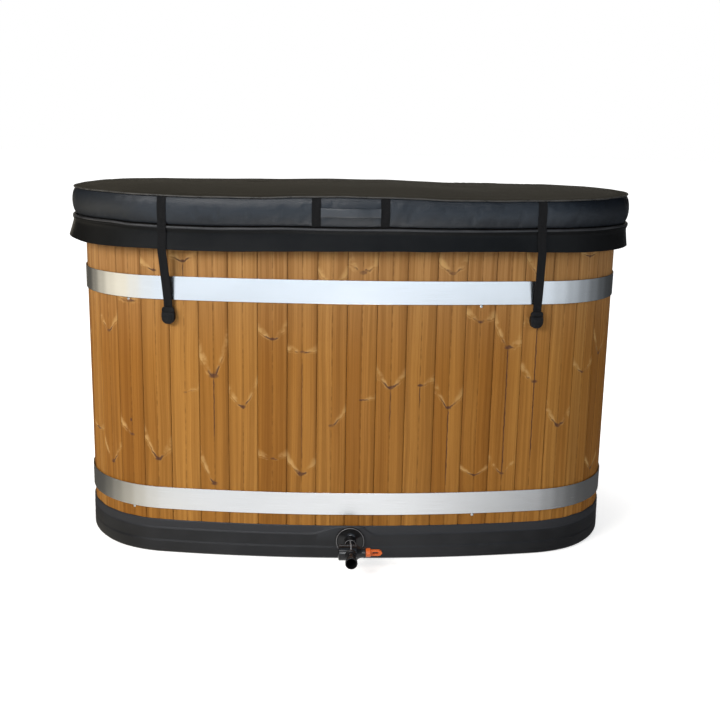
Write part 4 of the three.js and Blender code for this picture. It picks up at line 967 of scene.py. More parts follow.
def coverEdge(distance):
    spot, out = outlineAt(distance)
    wave = 0.0010 * softNoise(spot, 5.5, 3.0) + 0.0009 * softNoise(spot, 13.0, 8.0)
    return rimHeight + coverWork["edge"] + coverLine("edge", spot) + wave


def seamHeight(distance):
    return rimHeight + coverLine("seam", outlineAt(distance)[0])


# puckers of the side wall: centre along the outline, width, depth
sidePuckers = [(-0.128, 0.014, 0.0018), (-0.078, 0.010, -0.0014), (0.062, 0.010, -0.0014), (0.112, 0.013, 0.0016),
               (0.155, 0.020, -0.0016), (0.20, 0.028, 0.0012), (-0.20, 0.03, -0.0010), (0.36, 0.03, 0.0011),
               (-0.34, 0.035, 0.0009), (0.60, 0.02, 0.0013), (-0.61, 0.022, 0.0012)]


def sideOffset(distance, share):
    away = (distance + outlineLength / 2) % outlineLength - outlineLength / 2
    spot, out = outlineAt(distance)
    full = coverWork["bulge"] * math.sin(math.pi * min(max(share, 0), 1)) ** 0.8
    pucker = sum(depth * math.exp(-((away - 0.05 * (share - 0.5) - centre) / width) ** 2)
                 for centre, width, depth in sidePuckers)
    wave = 0.0012 * softNoise((spot.x, spot.y, share * 0.09), 9.0, 5.0)
    # the wall turns in over the skirt, and in again under the welt
    inward = coverWork["tuck"] * (1 - ease(share, 0.0, 0.13))
    inward += coverWork["groove"] * (ease(share, 0.84, 0.96) - ease(share, 0.985, 1.0))
    return coverWork["overhang"] + full - inward + (pucker + wave) * math.sin(math.pi * min(max(share, 0), 1))


def sidePoint(distance, share, stand):
    seam = seamHeight(distance)
    return sideOffset(distance, share) + stand, seam + share * (coverEdge(distance) - seam)


def topHeight(distance, inset):
    spot, out = outlineAt(distance)
    x = spot.x - out.x * inset * coverWork["insetReach"]
    y = spot.y - out.y * inset * coverWork["insetReach"]
    crown = coverWork["crown"] - coverWork["crownDrop"] * ease(x, 0.10, 0.38)
    wave = (0.0022 * softNoise((x, y, 0), 3.1, 1.0) + 0.0010 * softNoise((x, y, 0), 9.0, 2.0)) * ease(inset, 0, 0.2)
    middle = sum(alongLine(coverLines[label], x) for label in ("edgeFront", "edgeBack")) / 2
    edge = coverEdge(distance)
    edge += (rimHeight + coverWork["edge"] + middle - edge) * ease(inset, 0.0, 0.8)
    return edge + crown * (1 - (1 - inset) ** 3) + wave


# distances along the outline where webbing is sewn to the side wall
sewnPlaces = [-0.534, -0.108, 0.080, 0.520, outlineLength / 2 - 0.527, outlineLength / 2 + 0.527]
coverCloth = {"frames": 22, "pressure": 3.0, "slack": 0.006, "most": 0.005}


# blows the free part of a piece up against its seams, as cloth with some slack, and keeps that shape
def settleCloth(piece, work):
    mesh = piece.data
    held = piece.vertex_groups.new(name="held")
    for index, entry in enumerate(mesh.attributes["hold"].data):
        held.add([index], entry.value, "REPLACE")
    cloth = piece.modifiers.new("settle", "CLOTH")
    cloth.point_cache.frame_start = 1
    cloth.point_cache.frame_end = work["frames"]
    settings = cloth.settings
    settings.quality = 6
    settings.mass = 0.25
    settings.tension_stiffness = 20
    settings.compression_stiffness = 12
    settings.shear_stiffness = 6
    settings.bending_stiffness = 0.08
    settings.vertex_group_mass = held.name
    settings.shrink_min = -work["slack"]
    settings.use_pressure = True
    settings.uniform_pressure_force = work["pressure"]
    settings.effector_weights.gravity = 0
    start = [vert.co.copy() for vert in mesh.vertices]
    for step in range(1, work["frames"] + 1):
        scene.frame_set(step)
    settled = piece.evaluated_get(bpy.context.evaluated_depsgraph_get()).data
    moves = [vert.co - place for vert, place in zip(settled.vertices, start)]
    furthest = max(move.length for move in moves)
    piece.modifiers.remove(cloth)
    piece.vertex_groups.remove(held)
    for vert, place, move in zip(mesh.vertices, start, moves):
        vert.co = place + move * min(1.0, work["most"] / max(move.length, 1e-9))
    mesh.update()
    scene.frame_set(1)
    print(piece.name, "settled, furthest move", round(furthest * 1000, 2), "mm")


def makeCushion():
    reach = coverWork["insetReach"]
    overhang = coverWork["overhang"]
    rows = [("flat", 1.0), ("flat", 0.5), ("flat", 0.12), ("lip", 0.0), ("foot", 0.0)]
    rows += [("side", share) for share in (0.0, 0.05, 0.1, 0.16, 0.24, 0.36, 0.5, 0.64, 0.76, 0.84, 0.9, 0.94, 0.97, 0.985,
                                           1.0)]
    rows += [("top", inset) for inset in coverWork["insets"]] + [("ridge", 0.5), ("ridge", 0.0)]

    def place(u, w):
        kind, share = rows[round(w * (len(rows) - 1))]
        distance = u * outlineLength
        if kind == "side":
            return wallPoint(distance, *sidePoint(distance, share, 0.0))
        if kind == "top":
            return wallPoint(distance, overhang - share * reach, topHeight(distance, share))
        if kind == "lip":
            return wallPoint(distance, coverWork["lip"], rimHeight + 0.0006)
        if kind == "foot":
            return wallPoint(distance, overhang - 0.004, seamHeight(distance) - 0.0006)
        if kind == "flat":
            spot = wallPoint(distance, overhang - 0.95 * reach * share, rimHeight + 0.0006)
            if share == 1.0:
                spot.y = 0
            return spot
        spot = wallPoint(distance, overhang - 0.95 * reach, topHeight(distance, 0.97 + 0.03 * (1 - share)))
        spot.y *= share
        return spot

    bm = bmesh.new()
    hold = bm.verts.layers.float.new("hold")
    zone = bm.verts.layers.float.new("zone")

    # the cloth is free on the side wall and just over its edge, but not under sewn webbing
    def mark(vert, u, w):
        kind, share = rows[round(w * (len(rows) - 1))]
        free = 0.05 < share < 0.9 if kind == "side" else kind == "top" and share < 0.12
        sewn = min(abs((u * outlineLength - place + outlineLength / 2) % outlineLength - outlineLength / 2)
                   for place in sewnPlaces)
        vert[hold] = max(0.0 if free else 1.0, 1 - ease(sewn, 0.014, 0.022))
        vert[zone] = share if kind == "side" else 2.0 if kind in ("top", "ridge") else -1.0

    bentGrid(bm, coverWork["columns"], len(rows) - 1, place, "wrapMap", (outlineLength, 0.8), mark)
    bmesh.ops.remove_doubles(bm, verts=bm.verts, dist=2e-4)
    bmesh.ops.recalc_face_normals(bm, faces=bm.faces)
    # painted shade: faces at the foot of the side wall and just under the welt take the dark skirt vinyl
    for face in bm.faces:
        row = sum(vert[zone] for vert in face.verts) / len(face.verts)
        face.material_index = 0 if row > 1.2 else 1 if 0.03 < row < 0.975 else 2
    cushion = finishPiece("coverCushion", bm, "cover", vinylTop, vinylSide, vinylSkirt,
                          replaced=("cover_skin", "cover_foam_core"), slot="vinyl", smoothAngle=70)
    settleCloth(cushion, coverCloth)
    return cushion


coverCushion = makeCushion()


def makeWelt():
    bm = bmesh.new()
    radius = coverWork["welt"]

    def place(u, w):
        distance = u * outlineLength
        turn = 2 * math.pi * w
        offset = coverWork["overhang"] + 0.0002 + radius * math.cos(turn)
        return wallPoint(distance, offset, coverEdge(distance) + 0.0004 + radius * math.sin(turn))

    bentGrid(bm, 420, 8, place, "wrapMap", (outlineLength, 0.015))
    bmesh.ops.remove_doubles(bm, verts=bm.verts, dist=1e-5)
    bmesh.ops.recalc_face_normals(bm, faces=bm.faces)
    finishPiece("coverWelt", bm, "cover", weltVinyl, slot="vinyl", smoothAngle=80)


makeWelt()

pipingWork = {"radius": 0.0042, "stand": 0.0030, "drop": 0.0042, "columns": 420}
pipingFront = coverWork["overhang"] + pipingWork["stand"] + pipingWork["radius"]


def makePiping():
    bm = bmesh.new()
    radius = pipingWork["radius"]

    def place(u, w):
        distance = u * outlineLength
        turn = 2 * math.pi * w
        height = seamHeight(distance) - pipingWork["drop"] + radius * math.sin(turn)
        return wallPoint(distance, coverWork["overhang"] + pipingWork["stand"] + radius * math.cos(turn), height)

    bentGrid(bm, pipingWork["columns"], 16, place, "wrapMap", (outlineLength, 0.026))
    bmesh.ops.remove_doubles(bm, verts=bm.verts, dist=1e-5)
    bmesh.ops.recalc_face_normals(bm, faces=bm.faces)
    finishPiece("seamPiping", bm, "cover", pipingVinyl, slot="vinyl", smoothAngle=80)


makePiping()

skirtWork = {"columns": 420, "bottom": 0.9165, "roll": 0.0052, "rollFrom": 0.72, "crest": 0.90, "flare": 0.0115,
             "leftFlare": 0.005, "wave": 0.0030, "hem": 0.0020, "thickness": 0.0026}


def skirtOffset(distance, share):
    # share runs from the hem, 0, to the seam, 1
    spot, out = outlineAt(distance)
    flare = (skirtWork["flare"] - skirtWork["leftFlare"] * out.x) * (1 - share) ** 1.2
    crest = skirtWork["crest"]
    roll = skirtWork["roll"] * ease(share, skirtWork["rollFrom"], crest)
    tuck = max(share - crest, 0.0) / (1 - crest)
    roll *= 1 - tuck ** 1.2
    wave = skirtWork["wave"] * (softNoise(spot, 6.0, 11.0) + 0.5 * softNoise(spot, 14.0, 4.0)) * (1 - share) ** 0.7
    ripple = 0.0014 * softNoise((spot.x, spot.y, share * 0.07), 11.0, 6.0) * (1 - tuck)
    return coverWork["overhang"] + 0.0012 * (1 - tuck) + flare + roll - 0.0008 * tuck + wave + ripple


def skirtHeight(distance, share):
    spot, out = outlineAt(distance)
    bottom = skirtWork["bottom"] + coverLine("hem", spot) + skirtWork["hem"] * softNoise(spot, 4.2, 9.0)
    return bottom + share * (seamHeight(distance) - 0.0003 - bottom)


def makeSkirt():
    shares = [0.0, 0.02, 0.07, 0.15, 0.26, 0.38, 0.5, 0.6, 0.69, 0.76, 0.80, 0.83, 0.86, 0.885, 0.905, 0.92, 0.935, 0.948,
              0.961, 0.974, 0.987, 1.0]
    bm = bmesh.new()

    def place(u, w):
        share = shares[round(w * (len(shares) - 1))]
        distance = u * outlineLength
        return wallPoint(distance, skirtOffset(distance, share), skirtHeight(distance, share))

    bentGrid(bm, skirtWork["columns"], len(shares) - 1, place, "wrapMap", (outlineLength, 0.07))
    bmesh.ops.remove_doubles(bm, verts=bm.verts, dist=1e-5)
    bmesh.ops.recalc_face_normals(bm, faces=bm.faces)
    if max(bm.faces, key=lambda face: face.calc_center_median().x).normal.x < 0:
        bmesh.ops.reverse_faces(bm, faces=bm.faces)
    skirt = finishPiece("coverSkirt", bm, "cover", vinylSkirt, replaced=("cover_skirt",), slot="vinyl", smoothAngle=80)
    addModifier(skirt, "SOLIDIFY", thickness=skirtWork["thickness"], offset=-1)


makeSkirt()
print("cover made")

# webbing: straps and handle uprights

webWork = {"width": 0.025, "thickness": 0.0017, "stand": 0.0016, "reach": 0.527, "clipOut": 0.0107,
           "clipTop": 0.747, "insert": 0.009, "lean": -0.007}


# smooth line through a few (outward, height) points
def smoothLine(points, steps):
    line = []
    padded = [points[0]] + list(points) + [points[-1]]
    for i in range(len(points) - 1):
        a, b, c, d = (Vector(padded[i + k]) for k in range(4))
        for step in range(steps):
            t = step / steps
            line.append(0.5 * (2 * b + (c - a) * t + (2 * a - 5 * b + 4 * c - d) * t * t
                               + (3 * b - a - 3 * c + d) * t ** 3))
    line.append(Vector(points[-1]))
    return line


def makeWeb(name, node, distance, points, body, lean=0.0):
    line = smoothLine(points, 8)
    lengths = [0.0]
    for before, after in zip(line, line[1:]):
        lengths.append(lengths[-1] + (after - before).length)
    spot, out = outlineAt(distance)
    along = Vector((-out.y, out.x, 0))
    bm = bmesh.new()

    def place(u, w):
        stand, height = line[round(w * (len(line) - 1))]
        across = (u - 0.5) * webWork["width"] + lean * ease(height, webWork["clipTop"], coverSeam)
        return spot + along * across + out * stand + Vector((0, 0, height))

    bentGrid(bm, 6, len(line) - 1, place, "webMap", (webWork["width"], lengths[-1]))
    bmesh.ops.recalc_face_normals(bm, faces=bm.faces)
    if bm.faces[:][len(bm.faces) // 2].normal.dot(out) < 0:
        bmesh.ops.reverse_faces(bm, faces=bm.faces)
    web = finishPiece(name, bm, body, blackWebbing, replaced=(node,), slot="webbing", smoothAngle=70)
    addModifier(web, "SOLIDIFY", thickness=webWork["thickness"], offset=0)
    addModifier(web, "BEVEL", width=0.0005, segments=2, limit_method="ANGLE")


strapPlaces = {
    "frontRight": ("front_right", webWork["reach"]),
    "backRight": ("back_right", outlineLength / 2 - webWork["reach"]),
    "backLeft": ("back_left", outlineLength / 2 + webWork["reach"]),
    "frontLeft": ("front_left", outlineLength - webWork["reach"]),
}


def strapPoints(distance):
    stand = webWork["stand"]
    points = [sidePoint(distance, share, stand) for share in (0.985, 0.8, 0.55, 0.3, 0.12)]
    for share in (0.94, 0.84, 0.6, 0.25, 0.0):
        face = max(skirtOffset(distance, share), pipingFront) if share > 0.8 else skirtOffset(distance, share)
        points.append((face + stand + 0.001, skirtHeight(distance, share)))
    hang = points[-1]
    clip = (webWork["clipOut"], webWork["clipTop"] + webWork["insert"])
    for share in (0.15, 0.5, 0.85):
        points.append((hang[0] + (clip[0] - hang[0]) * share ** 1.05, hang[1] + (clip[1] - hang[1]) * share))
    return points + [clip, (webWork["clipOut"], webWork["clipTop"] - webWork["insert"])]


for label, (node, distance) in strapPlaces.items():
    lean = webWork["lean"] if label.startswith("front") else 0.0
    makeWeb(f"{label}Strap", f"{node}_strap", distance, strapPoints(distance), "cover", lean)

handleWork = {"centre": -0.014, "spacing": 0.188, "gripHeight": 0.027, "gripMiddle": 0.040, "gripBow": 0.010, "gripStand": 0.0115,
              "gripThick": 0.009}
for label, sign in (("left", -1), ("right", 1)):
    distance = handleWork["centre"] + sign * handleWork["spacing"] / 2
    points = [sidePoint(distance, share, webWork["stand"] + 0.0006) for share in (0.97, 0.75, 0.5, 0.25, 0.03)]
    makeWeb(f"handle{label.title()}Upright", f"handle_{label}_upright", distance, points, "cover")


def makeGrip():
    half = handleWork["spacing"] / 2 - webWork["width"] / 2 + 0.001
    bm = bmesh.new()

    def place(u, w):
        x = (u - 0.5) * 2 * half
        bow = 0.5 + 0.5 * math.cos(math.pi * x / half)
        thick = handleWork["gripThick"] * (0.35 + 0.65 * bow ** 0.5)
        turn = 2 * math.pi * w
        c, s = math.cos(turn), math.sin(turn)
        tall = handleWork["gripHeight"] * (0.92 + 0.08 * bow)
        rise = math.copysign(abs(s) ** 0.5, s) * tall / 2 + 0.0009 * softNoise((x, 0.04 * c, 0.04 * s), 26.0, 7.0)
        push = math.copysign(abs(c) ** 0.62, c) * thick / 2 + 0.0007 * softNoise((x * 1.6, rise, 0), 60.0, 2.0)
        stand = coverWork["overhang"] + handleWork["gripStand"] + handleWork["gripBow"] * bow - x * x / (2 * sideRadius)
        spot, out = outlineAt(handleWork["centre"])
        along = Vector((-out.y, out.x, 0))
        return spot + along * x + out * (stand + push) + Vector((0, 0, rimHeight + handleWork["gripMiddle"] + rise))

    bentGrid(bm, 40, 28, place, "wrapMap", (2 * half, 0.07))
    bmesh.ops.remove_doubles(bm, verts=bm.verts, dist=1e-6)
    bmesh.ops.holes_fill(bm, edges=[edge for edge in bm.edges if edge.is_boundary], sides=0)
    bmesh.ops.recalc_face_normals(bm, faces=bm.faces)
    grip = finishPiece("handleGrip", bm, "cover", gripVinyl, replaced=("handle_grip",), slot="vinyl", smoothAngle=40)


makeGrip()

# clips

clipWork = {"tongueWidth": 0.036, "tongueDepth": 0.009, "tongueTall": 0.014, "bladeWide": 0.024, "bladeThick": 0.004,
            "bladeLong": 0.025, "socketWidth": 0.037, "socketTall": 0.034, "socketFace": 0.0167, "round": 0.0165}


def clipFrame(distance):
    spot, out = outlineAt(distance)
    along = Vector((-out.y, out.x, 0))
    return lambda x, reach, z: spot + along * x + out * reach + Vector((0, 0, z))


def makeTongue(name, node, distance):
    at = clipFrame(distance)
    out = outlineAt(distance)[1]
    half = clipWork["tongueWidth"] / 2
    top = webWork["clipTop"]
    foot = top - clipWork["tongueTall"]
    back = webWork["clipOut"] - clipWork["tongueDepth"] / 2
    bm = bmesh.new()
    shape = [(-half, foot), (half, foot), (half, foot + 0.008), (half * 0.84, top), (-half * 0.84, top), (-half, foot + 0.008)]
    pushPlate(bm, [at(x, back, z) for x, z in shape], out * clipWork["tongueDepth"])
    softenEdges(bm, 0.0016, 3)
    bladeHalf = clipWork["bladeWide"] / 2
    near = webWork["clipOut"] - clipWork["bladeThick"] / 2
    blade = [(-bladeHalf, foot + 0.001), (-bladeHalf, foot - clipWork["bladeLong"] + 0.004),
             (-bladeHalf + 0.004, foot - clipWork["bladeLong"]), (bladeHalf - 0.004, foot - clipWork["bladeLong"]),
             (bladeHalf, foot - clipWork["bladeLong"] + 0.004), (bladeHalf, foot + 0.001)]
    pushPlate(bm, [at(x, near, z) for x, z in blade], out * clipWork["bladeThick"])
    for rib in range(3):  # grip ribs on the face
        z = foot + 0.0028 + rib * 0.0030
        face = back + clipWork["tongueDepth"]
        rail = [(-half * 0.62, z), (half * 0.62, z), (half * 0.62, z + 0.0012), (-half * 0.62, z + 0.0012)]
        pushPlate(bm, [at(x, face - 0.0004, height) for x, height in rail], out * 0.001)
    bmesh.ops.recalc_face_normals(bm, faces=bm.faces)
    finishPiece(name, bm, "cover", clipPlastic, replaced=(node,), slot="black_plastic")


def makeSocket(name, node, distance):
    at = clipFrame(distance)
    out = outlineAt(distance)[1]
    half = clipWork["socketWidth"] / 2
    top = webWork["clipTop"] - clipWork["tongueTall"] - 0.0003
    foot = top - clipWork["socketTall"]
    rounding = clipWork["round"]
    shape = [(-half, top), (-half * 1.04, top - 0.010)]
    for step in range(13):
        turn = math.pi + step / 12 * math.pi
        x = math.copysign(half - rounding, math.cos(turn)) if abs(math.cos(turn)) > 1e-6 else 0
        shape.append((x + rounding * math.cos(turn), foot + rounding + rounding * math.sin(turn)))
    shape += [(half * 1.04, top - 0.010), (half, top)]
    bm = bmesh.new()
    pushPlate(bm, [at(x, 0.0004, z) for x, z in reversed(shape)], out * (clipWork["socketFace"] - 0.0004))
    # mouth for the blade
    lid = max(bm.faces, key=lambda face: face.calc_center_median().z)
    rim = bmesh.ops.inset_region(bm, faces=[lid], thickness=0.0045, use_even_offset=True)
    made = bmesh.ops.extrude_face_region(bm, geom=[lid])
    sunk = [v for v in made["geom"] if isinstance(v, bmesh.types.BMVert)]
    bmesh.ops.translate(bm, verts=sunk, vec=(0, 0, -0.027))
    bmesh.ops.delete(bm, geom=[lid], context="FACES")
    bmesh.ops.recalc_face_normals(bm, faces=bm.faces)
    softenEdges(bm, 0.0022, 3, 50)
    # raised thumb pad on the face
    face = clipWork["socketFace"]
    pad = [(-half * 0.55, foot + 0.010), (half * 0.55, foot + 0.010), (half * 0.6, top - 0.008), (-half * 0.6, top - 0.008)]
    known = set(bm.edges)
    pushPlate(bm, [at(x, face - 0.0004, z) for x, z in pad], out * 0.0012)
    bmesh.ops.recalc_face_normals(bm, faces=bm.faces)
    bmesh.ops.bevel(bm, geom=[edge for edge in bm.edges if edge not in known], offset=0.0007, offset_type="OFFSET",
                    segments=2, profile=0.5, affect="EDGES", material=-1, clamp_overlap=True)
    finishPiece(name, bm, "tub", clipPlastic, replaced=(node,), slot="black_plastic")


for label, (node, distance) in strapPlaces.items():
    makeTongue(f"{label}ClipTongue", f"{node}_clip_tongue", distance)
    makeSocket(f"{label}ClipSocket", f"{node}_clip_socket", distance)
print("straps, handle and clips made")

# drain

drainWork = {"height": 0.058, "back": 0.3836, "flange": 0.043, "sleeve": 0.017, "sleeveEnd": 0.4176, "neck": 0.0125,
             "axis": 0.470, "barrel": 0.023, "left": 0.036, "nose": 0.0152, "right": 0.042, "outlet": 0.5013,
             "outletLong": 0.048, "mouth": 0.0175, "bore": 0.0102, "strainerY": -0.215, "floor": 0.1083}
front = Vector((0, -1, 0))
drainCentre = Vector((0, 0, drainWork["height"]))
valveCentre = drainCentre + front * drainWork["axis"]


# flange with a bead round its rim, a dished face and a plain sleeve
def makeFlange():
    back, wide = drainWork["back"], drainWork["flange"]
    sleeve, end, bore = drainWork["sleeve"], drainWork["sleeveEnd"], drainWork["bore"]
    bm = bmesh.new()
    spinProfile(bm, [(0.0203, back), (wide, back), (wide, back + 0.0034), (wide - 0.0007, back + 0.0052),
                     (wide - 0.0022, back + 0.0062), (wide - 0.0037, back + 0.0055), (wide - 0.0046, back + 0.0036),
                     (wide - 0.0060, back + 0.0030), (0.026, back + 0.0040), (0.0190, back + 0.0060),
                     (sleeve + 0.0003, back + 0.0085), (sleeve, back + 0.0110), (sleeve, end - 0.0016),
                     (sleeve - 0.0006, end - 0.0004), (sleeve - 0.0018, end), (bore, end), (bore, back + 0.0044),
                     (0.0203, back + 0.0043), (0.0203, back)], drainCentre, front, 72)

    # painted highlight: the bead round the rim and the sleeve's end are painted pale
    def worn(spot):
        radius, reach = math.hypot(spot.x, spot.z - drainWork["height"]), -spot.y
        bead = radius > wide - 0.0030 and reach > back + 0.0058
        return 1.0 if bead or (radius > sleeve - 0.0010 and reach > end - 0.0008) else 0.0

    markPaintedShine(bm, worn)
    flange = finishPiece("drainFlange", bm, "tub", fittingPlastic, replaced=("drain_flange",), slot="black_plastic")
    addModifier(flange, "WEIGHTED_NORMAL", keep_sharp=True)


# barrel that narrows to a nose at the key, neck, outlet boss and a moulding rib over the top
def makeValveBody():
    barrel, nose, neck = drainWork["barrel"], drainWork["nose"], drainWork["neck"]
    left, right, axis = drainWork["left"], drainWork["right"], drainWork["axis"]
    bm = bmesh.new()
    spinProfile(bm, [(0, -left), (barrel - 0.0035, -left), (barrel - 0.0010, -left + 0.0010), (barrel, -left + 0.0035),
                     (barrel, 0.0150), (barrel - 0.0012, 0.0180), (0.0196, 0.0210), (0.0174, 0.0245), (0.0160, 0.0280),
                     (nose, 0.0320), (nose, right - 0.0050), (nose + 0.0010, right - 0.0042),
                     (nose + 0.0010, right - 0.0008), (nose, right), (0, right)], valveCentre, (1, 0, 0), 56)
    spinProfile(bm, [(0.0103, 0.4179), (neck - 0.0006, 0.4179), (neck, 0.4185), (neck, axis)], drainCentre, front, 40)
    spinProfile(bm, [(0.0170, axis), (0.0170, 0.4940), (0.0163, 0.4995), (0.0155, 0.5010), (0.0135, 0.5010),
                     (0.0134, 0.4950)], drainCentre, front, 48)
    ridge = [(0.4185, neck + 0.0014), (0.4515, neck + 0.0014)]
    ridge += [(axis - (barrel + 0.0010) * math.cos(turn), (barrel + 0.0010) * math.sin(turn))
              for turn in (math.radians(38 + 11 * step) for step in range(10))]
    ridge += [(0.4880, 0.0150), (axis, 0.0150), (0.4515, neck - 0.0010), (0.4185, neck - 0.0010)]
    pushPlate(bm, [drainCentre + Vector((-0.0016, -reach, height)) for reach, height in ridge], (0.0032, 0, 0))

    # painted highlight: the top of the moulding rib is painted pale
    def worn(spot):
        reach, rise = -spot.y, spot.z - drainWork["height"]
        overBarrel = math.hypot(reach - axis, rise) > barrel + 0.0005 and reach < 0.4885
        return 1.0 if abs(spot.x) < 0.0017 and (overBarrel or (reach < 0.452 and rise > neck + 0.001)) else 0.0

    markPaintedShine(bm, worn)
    body = finishPiece("valveBody", bm, "tub", fittingPlastic, replaced=("valve_body",), slot="black_plastic")
    addModifier(body, "WEIGHTED_NORMAL", keep_sharp=True)


def makeOutlet():
    bm = bmesh.new()
    start, wide, bore = drainWork["outlet"], drainWork["mouth"], drainWork["bore"]
    end = start + drainWork["outletLong"]
    spinProfile(bm, [(bore, start - 0.0078), (0.0128, start - 0.0078), (0.013, start), (0.0142, start + 0.0002),
                     (0.0146, start + 0.003), (0.0138, start + 0.004), (wide - 0.0012, end - 0.012), (wide, end - 0.009),
                     (wide, end - 0.001), (wide - 0.0008, end), (wide - 0.0024, end), (wide - 0.003, end - 0.001),
                     (bore, start + 0.002), (bore, start - 0.0078)], drainCentre, front, 56)
    for face in bm.faces:
        middle = face.calc_center_median() - drainCentre
        radius = math.hypot(middle.x, middle.z)
        if radius < wide - 0.0026 and face.normal.dot(Vector((middle.x, 0, middle.z))) < 0:
            face.material_index = 1
    outlet = finishPiece("valveOutlet", bm, "tub", fittingPlastic, boreShadow, replaced=("valve_outlet",), slot="black_plastic")
    addModifier(outlet, "WEIGHTED_NORMAL", keep_sharp=True)


keyWork = {"collar": 0.013, "collarLong": 0.016, "stem": 0.0063, "loopLong": 0.032, "loopTall": 0.0084,
           "loopEnd": 0.013, "loopThick": 0.009, "slotMiddle": 0.0125, "slotRun": 0.0055, "slotTall": 0.0034}


def makeKey():
    start = drainWork["right"] + 0.0003
    end = start + keyWork["collarLong"]
    collar, stem, tall = keyWork["collar"], keyWork["stem"], keyWork["loopTall"]
    bm = bmesh.new()
    spinProfile(bm, [(stem, start), (collar - 0.0012, start), (collar, start + 0.0012), (collar, start + 0.0115),
                     (collar - 0.0009, start + 0.0135), (0.0100, end), (0, end), (0, end - 0.002), (stem, end - 0.003),
                     (stem, start)], valveCentre, (1, 0, 0), 40)
    # slotted loop: two rings of the same count, bridged and thickened
    slotMiddle, slotRun, slotTall = end + keyWork["slotMiddle"], keyWork["slotRun"], keyWork["slotTall"]
    loopEnd = keyWork["loopEnd"]
    rings = []
    for first, last, back, ahead, high in ((end - 0.001, end + keyWork["loopLong"] - loopEnd, 0.0, loopEnd, tall),
                                           (slotMiddle - slotRun, slotMiddle + slotRun, slotTall, slotTall, slotTall)):
        points = []
        for step in range(13):
            turn = -math.pi / 2 + step / 12 * math.pi
            points.append((last + ahead * math.cos(turn), high * math.sin(turn)))
        for step in range(13):
            turn = math.pi / 2 + step / 12 * math.pi
            points.append((first + back * math.cos(turn), high * math.sin(turn)))
        rings.append([bm.verts.new(valveCentre + Vector((x, keyWork["loopThick"] / 2, z))) for x, z in points])
    edges = []
    for ring in rings:
        edges += [bm.edges.new((ring[k], ring[(k + 1) % len(ring)])) for k in range(len(ring))]
    made = bmesh.ops.bridge_loops(bm, edges=edges)
    pushed = bmesh.ops.extrude_face_region(bm, geom=made["faces"])
    bmesh.ops.translate(bm, verts=[v for v in pushed["geom"] if isinstance(v, bmesh.types.BMVert)],
                        vec=(0, -keyWork["loopThick"], 0))
    bmesh.ops.recalc_face_normals(bm, faces=bm.faces)
    softenEdges(bm, 0.0020, 3, 50)
    key = finishPiece("valveKey", bm, "key", orangeKey, replaced=("valve_key",), slot="orange_plastic")
    addModifier(key, "WEIGHTED_NORMAL", keep_sharp=True)


def makeStrainer():
    bm = bmesh.new()
    floor = drainWork["floor"]
    centre = Vector((0, drainWork["strainerY"], 0))
    spinProfile(bm, [(0.0, floor + 0.0040), (0.012, floor + 0.0043), (0.030, floor + 0.0036), (0.0345, floor + 0.0022),
                     (0.036, floor + 0.0003), (0.0161, floor + 0.0003), (0.0161, floor - 0.012), (0.0135, floor - 0.012),
                     (0.0135, floor + 0.0003), (0.0, floor + 0.0006)], centre, (0, 0, 1), 48)
    finishPiece("drainStrainer", bm, "tub", bathPlastic, replaced=("drain_strainer",), slot="black_plastic")


makeFlange()
makeValveBody()
makeOutlet()
makeKey()
makeStrainer()
for label, material in (("drain_gasket", gasketRubber), ("drain_pipe", fittingPlastic), ("valve_plug", fittingPlastic)):
    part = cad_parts[label]
    part.data.materials.clear()
    part.data.materials.append(material)
print("drain made")

# floor, light and camera

studio = {
    "floorSize": 40.0,
    "floorTone": 0.80,
    "nearGlow": 0.60,
    # what mirrors catch of the floor: by the tub, half way and far off
    "mirrorGlow": (1.0, 0.42, 1.26),
    "mirrorTone": 0.05,
    "farTint": (0.93, 1.0, 1.07),
    "warmTint": (1.01, 0.92, 0.735),
    # turn from the front, in radians: dark and full at the left, full and dark at the right, and a power
    "fades": {"Near": (-1.66, -0.70, 0.15, 1.50, 1.4), "Far": (-2.30, -1.25, 0.10, 2.36, 1.9)},
    "frontTint": (0.70, 0.90, 1.14),
    "backTint": (1.06, 1.0, 0.86),
    "worldLight": 0.30,
    "ceiling": 0.20,
    "keyPower": 192.0,
    "fillPower": 37.0,
    "topPower": 50.0,
    # bright cards: centre, half sides, glow
    "lowCard": ((0.04, -1.25, 0.29), (0.15, 0.10), 11.0),
    "highCard": ((-1.4, -3.6, 3.9), (1.6, 1.0), 5.0),
    "sideCard": ((-3.0, -2.4, 3.8), (1.2, 0.8), 4.0),
    "frontLift": 1.7,
}


def stageMesh(name, bm, material):
    mesh = bpy.data.meshes.new(name)
    bm.to_mesh(mesh)
    bm.free()
    mesh.materials.append(material)
    holder = bpy.data.objects.new(name, mesh)
    scene.collection.objects.link(holder)
    return holder


def seenRays(tree):
    paths = tree.nodes.new("ShaderNodeLightPath")
    mirrored = calc(tree, "MAXIMUM", paths.outputs["Is Glossy Ray"], paths.outputs["Is Transmission Ray"])
    return paths.outputs["Is Camera Ray"], mirrored


